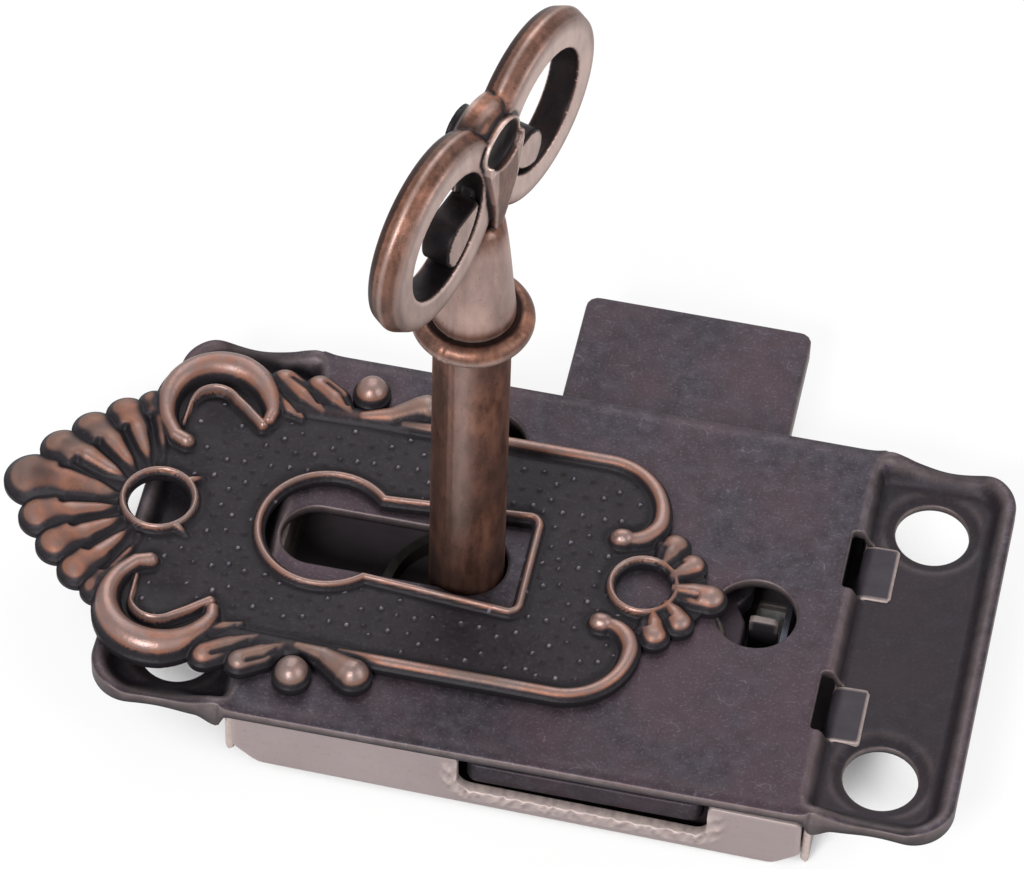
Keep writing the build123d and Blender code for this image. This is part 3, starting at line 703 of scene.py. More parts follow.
CASE_MID, WALL_HALF, WALL_TOP = 0.25, 20.3, 1.36
FLOOR_LOW, CASE_Y = CASE_LOW[2], CASE_HIGH[1]
BEND, CRISP_BEND, EDGE_ROUND = 0.7, 0.15, 0.12
BEND_SLACK = 2 - math.pi / 2
WINDOW_LEFT, WINDOW_RIGHT, WINDOW_DEPTH, WINDOW_R = -3.85, 13.95, 1.83, 1.0
CORNER_CUT, CORNER_CUT_HIGH = 2.1, 1.8
SEATS = (((KEY_X, 0), 1.21), ((STUD_X, -1.6), 1.11), ((18.4, 9.0), 0.91))
LUG_LOW, LUG_HIGH = (13.7, 1.1), (15.9, 5.6)
CASE_LEAN, CASE_LEAN_X = 0.021, -4
END_HALF, END_FOOT_HALF, END_FOOT = 15.6, 14.1, 3.0
TAB_REACH, TAB_RISE, EAR_TOP = 2.1, 0.12, 1.03


def case_tilt(points):
    """The case hangs a little lower at its right end, as in the photograph."""
    points = points.copy()
    points[:, 2] -= CASE_LEAN * (points[:, 0] - CASE_LEAN_X)
    return points


def sheet_inside():
    """Depth of the case sheet's inner face, in millimetres."""
    return bpy.context.scene.lock_cover.sheet / MM


def wall_strip():
    """Floor and both long walls, cut flat and then folded up."""
    corners = [(-CASE_Y, WALL_TOP), (-CASE_Y, FLOOR_LOW), (CASE_Y, FLOOR_LOW), (CASE_Y, WALL_TOP)]
    rise = WALL_TOP - FLOOR_LOW
    slack = BEND * BEND_SLACK
    total = 2 * rise + 2 * CASE_Y - 2 * slack
    half = total / 2
    wall_end = half - rise + slack / 2

    def window(x, off):
        low = half - WALL_TOP - WINDOW_DEPTH
        return box_distance(x, off, (WINDOW_LEFT, low), (WINDOW_RIGHT, half + 5), WINDOW_R)

    def outline(x, s):
        off = np.abs(s - half)
        body = box_distance(x, s, (CASE_MID - WALL_HALF, 0), (CASE_MID + WALL_HALF, total), 0.15)
        from_end = WALL_HALF - np.abs(x - CASE_MID)
        above = off - wall_end
        tall = np.where(above > 0, CORNER_CUT_HIGH, CORNER_CUT)
        notch = (from_end / CORNER_CUT + np.abs(above) / tall - 1) * 1.35
        seats = [disc_distance(x, s - half, place, radius) for place, radius in SEATS]
        lug = box_distance(x, s - half, LUG_LOW, LUG_HIGH, 0.2)
        return cut_all(body, notch, window(x, off), lug, *seats)

    def lip_band(x, s):
        """Where the sheared band under the window lies, and its teeth."""
        off = np.abs(s - half)
        across = np.sin(x * 5.6 + 2.2 * np.sin(x * 1.9))
        teeth = 0.5 + 0.5 * across * np.sin(off * 4.5 + 1.7 * np.sin(x * 2.7))
        return ramp(window(x, off), 1.3, 0.95) * ramp(off, half - 0.2, half - 1.0), teeth

    def outer(x, s):
        band, teeth = lip_band(x, s)
        return -bpy.context.scene.lock_cover.lip / MM * band * (0.45 + 0.8 * teeth)

    margin, cell = 0.5, 0.3
    low = (CASE_MID - WALL_HALF - margin, -margin)
    high = (CASE_MID + WALL_HALF + margin, total + margin)
    points, faces = sheet_mesh(outline, level(sheet_inside()), outer, low, high, cell, EDGE_ROUND, 2)
    x, s, depth = points.T
    band, teeth = lip_band(x, s)
    wear = band * (0.15 + 0.65 * teeth) + 0.4 * near_edge(outline(x, s), 0.2)
    shade = np.maximum(ramp(depth, 0.25, 0.5) * 0.9, 0.5 * band * (1 - teeth))
    a, b = folded(points, corners, (BEND, BEND))
    return np.column_stack((x, a, b)), faces, np.clip(wear, 0, 1), shade


def end_strip(side):
    """One end wall with its two tabs, folded up and clinched over the ear."""
    end_x = CASE_HIGH[0] if side > 0 else -CASE_LOW[0]
    wall_x = end_x - TAB_REACH
    foot = (wall_x - END_FOOT, FLOOR_LOW)
    corners = [foot, (wall_x, FLOOR_LOW), (wall_x, EAR_TOP), (end_x, EAR_TOP + TAB_RISE)]
    first = END_FOOT - BEND + BEND * math.pi / 2
    wall_top = first - FLOOR_LOW - BEND
    last = wall_top + EAR_TOP + TAB_REACH - CRISP_BEND * BEND_SLACK
    clear = 0.02

    def outline(y, s):
        wall = box_distance(y, s, (-END_HALF, 0), (END_HALF, wall_top), 0.2)
        base = box_distance(y, s, (-END_HALF, -1), (END_HALF, 2.6))
        wall = np.maximum(wall, -np.maximum(base, END_FOOT_HALF - np.abs(y)))
        tabs = box_distance(np.abs(y), s, (TAB_Y - TAB_HALF, 1), (TAB_Y + TAB_HALF, last), 0.35)
        return join_all(wall, tabs)

    def outer(y, s):
        return clear * (s < first)

    def inner(y, s):
        return sheet_inside() - clear * (s < first)

    margin, cell = 0.4, 0.22
    low, high = (-END_HALF - margin, -margin), (END_HALF + margin, last + margin)
    points, faces = sheet_mesh(outline, inner, outer, low, high, cell, EDGE_ROUND, 2)
    y, s, depth = points.T
    wear = 0.9 * near_edge(outline(y, s), 0.25)
    shade = ramp(s, wall_top - 0.5, wall_top + 0.4) + ramp(depth, 0.25, 0.5) * 0.5
    a, b = folded(points, corners, (BEND, CRISP_BEND))
    made = np.column_stack((side * a, y, b))
    if side < 0:
        faces = [tuple(reversed(f)) for f in faces]
    return made, faces, wear, np.clip(shade, 0, 1)


def lug_strip():
    """The guide lug, bent up out of the floor beside the bolt."""
    foot_y, lug_y, lug_top, bend, clear = -0.6, LUG_LOW[1], 1.2, 0.65, 0.01
    corners = [(foot_y, FLOOR_LOW), (lug_y, FLOOR_LOW), (lug_y, lug_top)]
    left, right = LUG_LOW[0] + 0.05, LUG_HIGH[0] - 0.05
    run = lug_y - foot_y + lug_top - FLOOR_LOW - 0.3

    def outline(x, s):
        return box_distance(x, s, (left, -0.5), (right, run), 0.25)

    inner, outer = level(sheet_inside() - clear), level(clear)
    low, high, cell = (13.3, -1), (16.3, 7.5), 0.2
    points, faces = sheet_mesh(outline, inner, outer, low, high, cell, EDGE_ROUND, 2)
    x, s, _ = points.T
    # A painted highlight along the lug's top edge, carried in its wear layer.
    wear = 0.4 * near_edge(outline(x, s), 0.25) * (s > 5.5)
    a, b = folded(points, corners, (bend,))
    # The lug's dark layer is full all over: painted shade inside the case.
    return np.column_stack((x, a, b)), faces, wear, np.ones(len(points))


def build_case():
    """The folded case: floor with long walls, two end walls with their tabs, and the lug."""
    strips = [wall_strip(), end_strip(1), end_strip(-1), lug_strip()]
    parts = [(case_tilt(points), faces) for points, faces, _, _ in strips]
    wear = np.concatenate([s[2] for s in strips])
    shade = np.concatenate([s[3] for s in strips])
    look = case_wash("case copper")
    make_piece("folded_case", parts, look, "case", "case_box", "case_copper", worn=wear, dark=shade)


def dress_inner():
    """The stud, washer, post, ward, spring and rivet keep their CAD solids."""
    steel = plain_steel("inner steel", 0.0)
    spring = plain_steel("spring steel", 0.6)
    for name in ("bolt_stud", "stud_spacer", "key_post", "ward_ring", "spring_rivet", "detent_spring"):
        piece = frame["nodes"][name]
        piece.data.materials.clear()
        piece.data.materials.append(spring if name == "detent_spring" else steel)


def arc(centre, radius, start, end, count):
    """Points along an arc, with its angles in degrees."""
    turn = np.radians(np.linspace(start, end, count))
    return np.column_stack((centre[0] + radius * np.cos(turn), centre[1] + radius * np.sin(turn)))


FAR_OFF = 9.0
MOULD_FOOT = 0.35


class Moulding:
    """A rounded ridge that follows a path, with its own width and crest along the way.

    A groove is its place across the ridge, its width and depth, and its first and last share
    of the way.
    """

    def __init__(self, path, half_widths, crests, foot=MOULD_FOOT, grooves=()):
        self.path = np.asarray(path, float)
        share = np.linspace(0, 1, len(self.path))
        self.half = np.interp(share, np.linspace(0, 1, len(half_widths)), half_widths)
        self.crest = np.interp(share, np.linspace(0, 1, len(crests)), crests)
        self.foot = foot
        self.grooves = grooves

    def flipped(self):
        """The same ridge on the other side of the middle line."""
        grooves = [(-across, *rest) for across, *rest in self.grooves]
        return Moulding(self.path * (1, -1), self.half, self.crest, self.foot, grooves)

    def shape(self, x, y):
        """Distance to the ridge's outline, and its height where it covers the point."""
        reach = self.half.max() + 1.6
        low, high = self.path.min(0) - reach, self.path.max(0) + reach
        near = (x > low[0]) & (x < high[0]) & (y > low[1]) & (y < high[1])
        distance = np.full(x.shape, FAR_OFF)
        height = np.full(x.shape, -FAR_OFF)
        px, py = x[near], y[near]
        best = np.full(px.shape, FAR_OFF)
        ratio, along, crest = np.zeros(px.shape), np.zeros(px.shape), np.zeros(px.shape)
        width = np.ones(px.shape)
        steps = len(self.path) - 1
        for k in range(steps):
            start, run = self.path[k], self.path[k + 1] - self.path[k]
            share = np.clip(((px - start[0]) * run[0] + (py - start[1]) * run[1]) / (run @ run), 0, 1)
            off_x, off_y = px - start[0] - share * run[0], py - start[1] - share * run[1]
            gap = np.hypot(off_x, off_y)
            half = self.half[k] + share * (self.half[k + 1] - self.half[k])
            nearer = gap - half < best
            side = np.where(run[0] * off_y < run[1] * off_x, -1, 1)
            best = np.where(nearer, gap - half, best)
            ratio = np.where(nearer, side * gap / half, ratio)
            along = np.where(nearer, (k + share) / steps, along)
            crest = np.where(nearer, self.crest[k] + share * (self.crest[k + 1] - self.crest[k]), crest)
            width = np.where(nearer, half, width)
        round_top = np.clip(1 - np.abs(ratio) ** 2.4, 0, 1) ** 0.8
        rise = self.foot + (crest - self.foot) * round_top
        for across, narrow, depth, begin, end in self.grooves:
            trough = swell(ratio * width, across * width, narrow)
            fade = ramp(along, begin, begin + 0.12) * (1 - ramp(along, end - 0.1, end))
            rise = rise - depth * trough * fade
        distance[near] = best
        height[near] = np.where(best <= 0, rise, -FAR_OFF)
        return distance, height


def lobe(root, tip, root_half, tip_half, crests, grooves):
    """One lobe of a shell: it swells from its root to a round tip."""
    path = np.linspace(root, tip, 36)
    widths = (root_half, tip_half * 0.7, tip_half * 0.92, tip_half)
    return Moulding(path, widths, crests, MOULD_FOOT, grooves)


def mirrored(ridges):
    """The ridges and their twins on the other side of the middle line."""
    return ridges + [ridge.flipped() for ridge in ridges]


SCROLL, SCROLL_SEAT_R = (-26.9, 8.9), 4.4
SCROLL_EYE, SCROLL_EYE_R = (-26.8, 7.6), 1.342
RIM_Y, RIM_CORNER, RIM_BEND_R, CURL_R = 10.55, (1.65, 5.95), 4.6, 2.1
RIM_OUT = 0.6
HEAD, HEAD_R = (-16.9, 0), 4.43
FLARE_LEFT, FLARE_RIGHT, FLARE_HALF, FLARE_GROWS, FLARE_CORNER = -13.3, -2.65, 3.05, 0.8, 0.35
NAILS = (((-29.2, 0), 2.25), ((6.1, 0), 2.0))


def shell_mouldings():
    """The big shell at the left end: a broad middle lobe and four on each side."""
    fluted = [(-0.6, 0.45, 0.62, 0.0, 0.82), (0.8, 0.16, 0.2, 0.1, 0.7)]
    lobes = [lobe((-31.6, 0), (-38.35, 0), 0.6, 2.25, (0.8, 1.3, 1.7, 1.6), fluted)]
    side = (
        ((-31.5, 0.8), (-37.0, 3.1), 1.75, (0.75, 1.25, 1.6, 1.5)),
        ((-31.2, 1.6), (-35.25, 5.25), 1.7, (0.75, 1.2, 1.55, 1.45)),
        ((-30.6, 2.4), (-33.3, 7.15), 1.6, (0.75, 1.15, 1.45, 1.4)),
        ((-29.9, 3.4), (-31.6, 8.5), 1.3, (0.75, 1.1, 1.35, 1.3)),
    )
    fluted = [(0.42, 0.38, 0.6, 0.0, 0.82), (-0.72, 0.15, 0.18, 0.05, 0.7)]
    return lobes + mirrored([lobe(a, b, 0.45, half, crests, fluted) for a, b, half, crests in side])


def fan_mouldings():
    """The small shell at the right end: a middle lobe and two on each side."""
    fluted = [(-0.35, 0.26, 0.3, 0.0, 0.85)]
    lobes = [lobe((7.6, 0), (10.85, 0), 0.7, 1.3, (1.0, 1.35, 1.5, 1.45), fluted)]
    side = (
        ((7.5, 1.0), (9.1, 2.55), 1.15, (0.95, 1.25, 1.4, 1.35)),
        ((6.9, 1.8), (7.6, 4.0), 1.2, (0.9, 1.2, 1.4, 1.35)),
    )
    fluted = [(0.4, 0.24, 0.3, 0.0, 0.85)]
    return lobes + mirrored([lobe(a, b, 0.65, half, crests, fluted) for a, b, half, crests in side])


def scroll_mouldings():
    """A scroll: a heavy outer ridge, a channel and a thin inner ridge that meets its right end."""
    curl = arc(SCROLL, 3.85, -142, -352, 40)
    outer = np.vstack(([(-28.5, 5.5), (-29.4, 5.85)], curl, [(-23.2, 8.7)]))
    widths = (0.72, 0.85, 1.0, 1.15, 1.3, 1.42, 1.42, 1.25, 1.0, 0.6)
    crests = (1.45, 1.6, 1.85, 2.05, 2.1, 2.1, 2.05, 1.9, 1.65, 1.3)
    heavy = Moulding(outer, widths, crests, MOULD_FOOT, [(0.8, 0.14, 0.24, 0.12, 0.9)])
    curl = arc((-27.2, 8.75), 1.85, -188, -318, 26)
    inner = np.vstack(([(-29.1, 7.0)], curl, [(-24.9, 9.3), (-24.1, 8.6), (-23.5, 8.1)]))
    thin = Moulding(inner, (0.22, 0.34, 0.34, 0.34, 0.5), (1.1, 1.45, 1.5, 1.45, 1.3), 0.3)
    return mirrored([heavy, thin])


def edge_mouldings():
    """Leaves, pearl and drop between the scroll and the moulded rim."""
    vein = [(0.35, 0.2, 0.28, 0.0, 0.9)]
    leaves = [
        Moulding(path, widths, crests, 0.4, vein)
        for path, widths, crests in (
            ([(-23.3, 11.2), (-22.0, 10.2), (-20.9, 9.5)], (1.0, 0.8, 0.3), (1.35, 1.2, 0.95)),
            ([(-22.9, 12.5), (-21.2, 11.6), (-19.6, 10.4)], (1.25, 1.15, 0.5), (1.4, 1.35, 1.0)),
            ([(-20.3, 12.6), (-18.9, 11.8), (-17.6, 10.7)], (1.15, 1.1, 0.5), (1.4, 1.35, 1.0)),
        )
    ]
    pearl = Moulding([(-16.5, 12.75), (-16.5, 13.0)], (1.38, 1.38), (1.95, 1.95))
    fall = [(-16.6, 10.6), (-14.6, 11.0), (-12.7, 11.95), (-12.3, 12.1)]
    drop = Moulding(fall, (0.6, 0.9, 1.3, 1.4), (1.1, 1.45, 1.9, 1.95))
    along = [(-21.5, 10.5), (-16.6, 10.6), (-13.2, RIM_Y)]
    band = Moulding(along, (0.8, 0.8, 0.7), (0.9, 0.95, 1.0), 0.5)
    return mirrored([*leaves, pearl, drop, band])


def rim_mouldings():
    """The moulded rim with its curls and their balls, and the spurs beside the nail holes."""
    straight = [(-13.6, RIM_Y), (RIM_CORNER[0], RIM_Y)]
    bend = arc(RIM_CORNER, RIM_BEND_R, 90, 0, 24)
    curl = arc((RIM_CORNER[0] + RIM_BEND_R - CURL_R, RIM_CORNER[1]), CURL_R, 0, -95, 16)
    path = np.vstack((straight, bend[1:], curl[1:]))
    rim = Moulding(path, (0.66, 0.66, 0.7, 0.85, 0.72), (1.15, 1.15, 1.2, 1.35, 1.25))
    ball = Moulding([(3.95, 3.84), (3.7, 3.82)], (0.92, 0.92), (1.5, 1.5))
    spur = Moulding([(-27.3, 2.15), (-26.5, 2.65)], (0.4, 0.22), (1.15, 0.8), 0.4)
    link = Moulding([(6.6, 3.9), (7.2, 2.7)], (0.5, 0.4), (1.0, 0.95), 0.4)
    return mirrored([rim, ball, spur, link])


def keyhole_distance(x, y):
    """The keyhole: a round head and a flared slot with soft corners."""
    head = disc_distance(x, y, HEAD, HEAD_R)
    flare = np.clip((x - FLARE_LEFT) / (FLARE_RIGHT - FLARE_LEFT), 0, 1)
    over_y = np.abs(y) - FLARE_HALF - FLARE_GROWS * flare + FLARE_CORNER
    over_x = x - FLARE_RIGHT + FLARE_CORNER
    slot = np.hypot(np.maximum(over_y, 0), np.maximum(over_x, 0))
    slot = slot + np.minimum(np.maximum(over_x, over_y), 0) - FLARE_CORNER
    return np.minimum(head, np.maximum(slot, HEAD[0] + 1.4 - x))


def nail_distance(x, y):
    """Distance to the nearer of the two nail holes."""
    return join_all(*(disc_distance(x, y, place, radius) for place, radius in NAILS))


def hole_ridge(distance, middle, half):
    """The round ridge along a hole, as a share of its height."""
    return np.clip(1 - ((distance - middle) / half) ** 2, 0, 1) ** 0.8


class Relief:
    """The whole relief of the escutcheon, as one outline and one height."""

    def __init__(self):
        self.sizes = bpy.context.scene.lock_relief
        self.ridges = shell_mouldings() + fan_mouldings() + scroll_mouldings()
        self.ridges += edge_mouldings() + rim_mouldings()

    def blank(self, x, y):
        """Outline of the plain plate under the ridges."""
        y = np.abs(y)
        corner_x, corner_y = RIM_CORNER
        bar = box_distance(x, y, (-25.5, -20.0), (corner_x, 11.1), 0.1)
        corner = disc_distance(x, y, RIM_CORNER, RIM_BEND_R + RIM_OUT)
        end = box_distance(x, y, (-2.0, -20.0), (6.6, corner_y), 0.1)
        web = (np.hypot((x + 29.6) / 7.0, y / 9.0) - 1) * 7.0
        fan = disc_distance(x, y, (7.6, 0), 3.2)
        scroll = disc_distance(x, y, SCROLL, SCROLL_SEAT_R)
        return join_all(bar, corner, end, web, fan, scroll)

    def outline(self, x, y):
        """Outline of the casting with its ridges and holes."""
        x, y = np.asarray(x, float), np.asarray(y, float)
        body = self.blank(x, y)
        for ridge in self.ridges:
            body = np.minimum(body, ridge.shape(x, y)[0])
        return cut_all(body, keyhole_distance(x, y), nail_distance(x, y))

    def dots(self, x, y):
        """Fine raised dots, a little out of line."""
        step = self.sizes.dot_spacing / MM
        turn_x, turn_y = (x * 0.94 + y * 0.34) / step, (y * 0.94 - x * 0.34) / step
        i, j = np.round(turn_x), np.round(turn_y)
        off_x = 0.27 * np.sin(12.9 * i + 78.2 * j)
        off_y = 0.27 * np.sin(39.3 * i + 11.1 * j + 1)
        gap = np.hypot(turn_x - i - off_x, turn_y - j - off_y) * step
        strength = 0.75 + 0.35 * np.sin(7.7 * i + 3.1 * j)
        return 1.5 * self.sizes.dot / MM * strength * swell(gap, 0, 0.15)

    def height(self, x, y):
        """Height over the back of the casting."""
        x, y = np.asarray(x, float), np.asarray(y, float)
        field = np.full(x.shape, self.sizes.field / MM)
        field += 0.03 * np.sin(x * 0.8 + 1.3) * np.sin(y * 0.7)
        clear = np.full(x.shape, FAR_OFF)
        relief = np.full(x.shape, -FAR_OFF)
        for ridge in self.ridges:
            gap, rise = ridge.shape(x, y)
            clear = np.minimum(clear, gap)
            relief = np.maximum(relief, rise)
        hole, nail = keyhole_distance(x, y), nail_distance(x, y)
        rim = 0.38 + 0.74 * hole_ridge(hole, 0.5, 0.42)
        ring = 0.4 + 0.8 * hole_ridge(nail, 0.36, 0.34)
        clear = join_all(clear, hole - 0.9, nail - 0.9)
        eye = swell(disc_distance(x, np.abs(y), SCROLL_EYE, 0), 0, SCROLL_EYE_R)
        field = field - 0.3 * eye - 0.1 * swell(clear, 0, 0.4)
        field = field + self.dots(x, y) * ramp(clear, 0.15, 0.6) * (1 - eye)
        whole = soft_max(field, relief, 0.16)
        whole = soft_max(whole, np.where(hole < 0.95, rim, -FAR_OFF), 0.12)
        whole = soft_max(whole, np.where(nail < 0.9, ring, -FAR_OFF), 0.12)
        return np.maximum(whole, 0.3)


def smooth_box(values, reach):
    """Mean over a square of cells, by running sums along each side."""
    for axis in (0, 1):
        first, last = np.take(values, [0] * (reach + 1), axis), np.take(values, [-1] * reach, axis)
        total = np.cumsum(np.concatenate([first, values, last], axis), axis)
        span = 2 * reach + 1
        size = values.shape[axis]
        upper = np.take(total, range(span, span + size), axis)
        lower = np.take(total, range(size), axis)
        values = (upper - lower) / span
    return values


def relief_tones(points, height, low, high, cell, reach):
    """How far each point stands over, or lies under, the mean height round it."""
    counts = [int((high[k] - low[k]) / cell) + 1 for k in (0, 1)]
    x, y = np.meshgrid(*(low[k] + cell * np.arange(counts[k]) for k in (0, 1)), indexing="ij")
    tall = height(x, y)
    step = tall - smooth_box(smooth_box(tall, reach), reach)
    i = np.clip((points[:, 0] - low[0]) / cell, 0, counts[0] - 1.001)
    j = np.clip((points[:, 1] - low[1]) / cell, 0, counts[1] - 1.001)
    a, b = i.astype(int), j.astype(int)
    s, t = i - a, j - b
    edge = step[a, b] * (1 - s) * (1 - t) + step[a + 1, b] * s * (1 - t)
    return edge + step[a, b + 1] * (1 - s) * t + step[a + 1, b + 1] * s * t


def antique_casting(name):
    """Near black patina in the hollows, brown copper on the crests, pale on the sharpest edges, painted
    highlights on the dots.
    """
    tones = shades()
    look = Finish(name, specular=0.12)
    point = look.place()
    mottle = look.noise(point, 0.8, 4.0, 0.62)
    fine = look.noise(point, 3.0, 3.0, 0.65)
    cloud = look.noise(point, 0.16, 2.0, 0.5)
    crest, hollow = look.attribute("worn"), look.attribute("dark")
    crest = (crest * (0.55 + 1.1 * cloud)).clamp()
    field = look.mix((mottle - 0.3) * 1.8, shaded(tones.bronze, 0.2), shaded(tones.bronze, 0.45))
    field = look.mix(fine.above(0.6, 0.15) * 0.25, field, CAST_SPECK)
    copper = look.mix(cloud.above(0.45, 0.2), CAST_RED, shaded(tones.key_red, 0.9))
    copper = look.mix(mottle.above(0.52, 0.25) * 0.5, copper, CAST_BROWN)
    base = look.mix((crest * (0.55 + 0.9 * mottle)).clamp().above(0.2, 0.45), field, copper)
    share = (crest * (0.6 + 0.8 * mottle)).clamp().above(0.66, 0.4)
    base = look.mix(share * 0.42, base, look.mix(cloud, tones.worn, tones.copper))
    base = look.mix((hollow * (0.8 + 0.6 * mottle)).clamp(), base, tones.hollow)
    # Painted highlights on the tops of the field's dots.
    base = look.mix(look.attribute("dot_glints") * (0.4 + 0.6 * mottle), base, DOT_GLINT)
    rough = 0.42 + 0.12 * fine - 0.08 * share
    metal, bumps = 0.08 + 0.6 * crest, look.bump(fine, 0.03)
    return look.close(base_color=base, roughness=rough, metallic=metal, normal=bumps)


def build_escutcheon():
    """The escutcheon: rubbed on its crests, dark in its hollows, with painted highlights on the dots' tops.
    """
    relief = Relief()
    back = PLATE_LOW[2]
    margin, edge_r, tone_cell, tone_reach = 1.0, 0.09, 0.12, 5
    low, high = PLATE_LOW - margin, PLATE_HIGH + margin

    def top(x, y):
        return back + relief.height(x, y)

    cell = relief.sizes.cell / MM
    points, faces = sheet_mesh(relief.outline, top, level(back), low, high, cell, edge_r, 2)
    step = relief_tones(points, relief.height, low, high, tone_cell, tone_reach)
    rise = points[:, 2] - back
    crest = np.clip(step / 0.34, 0, 1) * ramp(rise, 0.8, 1.15)
    hollow = np.clip(np.maximum(-step / 0.2, 0.35 * ramp(rise, 0.3, 0.1)), 0, 1)
    # Painted highlights on the dots' tops, kept off the ridges.
    dot_glints = ramp(relief.dots(points[:, 0], points[:, 1]) / relief.sizes.dot * MM, 0.7, 1.2)
    dot_glints[(rise > 0.98) | (rise < 0.55)] = 0
    spots = dot_glints > 0
    for ridge in relief.ridges:
        dot_glints[spots] *= ridge.shape(points[spots, 0], points[spots, 1])[0] > 0.3
    look = antique_casting("escutcheon casting")
    place = ("escutcheon", "escutcheon", "escutcheon_bronze")
    layers = {"worn": crest, "dark": hollow, "dot_glints": dot_glints}
    make_piece("relief_escutcheon", [(points, faces)], look, *place, **layers)


KEY_BASE = KEY_LOW[2]
COLLAR_Z, CONE_Z, CONE_TOP, BOW_Z = 29.0, 30.7, 40.0, 44.9
KNOT_Z = BOW_Z + 3.3
SHANK_R, COLLAR_R, BORE_R = 2.7, 4.27, 1.7
LOOP_U, LOOP_HOLE_R, LOOP_WALL, LOOP_HALF = 6.35, 4.55, 2.15, 1.165
KNOT_OVAL, KNOT_R, KNOT_END_R, KNOT_HALF = 1.28, 2.5, 1.74, 1.98
LEAF_Z, LEAF_R, LEAF_END_U, LEAF_HALF, LEAF_STEP = BOW_Z - 2.5, 1.9, 4.35, 1.06, 0.62
TONGUE_Z, TONGUE_HALF_Z, TONGUE_POINT_Z, TONGUE_CUT_R = 42.8, 5.1, 38.0, 1.55
BOW_OFF_U, BOW_OFF_W = 0.5, 0.2
PARTING_OUT, PARTING_WIDTH = 0.24, 0.1


def soft_join(a, b, width):
    """Joins two distances with a fillet of the given width."""
    gap = np.clip(width - np.abs(a - b), 0, None) / width
    return np.minimum(a, b) - gap * gap * width / 4


def loop_distance(u, w, z):
    """One round loop: flat sides, and a crowned outer edge with a ridge down its middle."""
    out = np.hypot(u, z) - LOOP_HOLE_R
    soft = bpy.context.scene.lock_key.edge / MM
    side = np.sqrt(w * w + 0.015)
    face = side - LOOP_HALF
    bevel = 0.913 * (out - LOOP_WALL - 0.52) + 0.4075 * side
    return soft_max(soft_max(face, bevel, soft * 1.6), -out, soft * 1.8)


def knot_distance(u, w, z):
    """The knot over the crossing: a spool with a dome in its middle and dished ends."""
    side = np.abs(w)
    round_r = np.hypot(u / KNOT_OVAL, z)
    far = ramp(w, 0.2, 1.0)
    end_r = KNOT_END_R - 0.5 * far
    knot_r = end_r + (KNOT_R - end_r) * np.exp(-(side**4)) - 0.1 * swell(side, 1.35, 0.22)
    dish = 0.42 * np.exp(-((round_r / (end_r - 0.24)) ** 6))
    return soft_max((round_r - knot_r) * 0.8, (side - KNOT_HALF + 0.25 * far + dish) * 0.9, 0.12)


def tongue_distance(u, w, z):
    """The wedge under the knot: flat in front, wide at its top and pointed at its foot."""
    rise = np.clip((z - TONGUE_POINT_Z) / 9.0, 0, 1)
    half_u = 0.12 + 2.0 * rise**1.15
    half_w = 1.45 + 0.5 * ramp(z, 38.5, 45.0)
    body = soft_max(np.abs(u) - half_u, np.abs(w) - half_w, 0.14)
    body = np.maximum(body, np.abs(z - TONGUE_Z) - TONGUE_HALF_Z)
    return np.maximum(body, TONGUE_CUT_R - np.hypot(u / KNOT_OVAL, z - KNOT_Z)) * 0.95


def leaf_distance(u, w, z):
    """The leaf in the lower corner of a loop: round in front and thinner than the ring."""
    along = np.clip(u, 0.5, LEAF_END_U)
    round_r = np.hypot(u - along, z - LEAF_Z) - LEAF_R - 0.6 * ramp(u, 2.6, 1.2)
    arm = np.hypot(u - LOOP_U, z - BOW_Z)
    half = LEAF_HALF - LEAF_STEP * ramp(arm, LOOP_HOLE_R - 0.48, LOOP_HOLE_R - 0.32)
    return soft_max(round_r, np.sqrt(w * w + 0.02) - half, 0.22) * 0.9


def bow_distance(u, w, z):
    """The key above its collar: cone, tongue, two loops, two leaves and the knot."""
    lean = ramp(z, CONE_Z + 1.5, BOW_Z - 2.5)
    mid_u, mid_w = u - BOW_OFF_U * lean, w + BOW_OFF_W * lean
    side_u = np.abs(u - BOW_OFF_U)
    loops = loop_distance(side_u - LOOP_U, w + BOW_OFF_W, z - BOW_Z)
    share = np.clip((z - CONE_Z) / (CONE_TOP - CONE_Z), 0, 1)
    cone_r = 2.97 - 0.72 * share - 0.62 * share**2
    ends = np.maximum(z - CONE_TOP, CONE_Z - 0.3 - z)
    cone = soft_max((np.hypot(mid_u, mid_w) - cone_r) * 0.97, ends, 0.5)
    shape = soft_join(loops, cone, 0.4)
    shape = soft_join(shape, leaf_distance(side_u, w + BOW_OFF_W, z), 0.12)
    shape = soft_join(shape, tongue_distance(mid_u, mid_w, z), 0.16)
    return soft_join(shape, knot_distance(mid_u, w - BOW_OFF_W, z - KNOT_Z), 0.14)


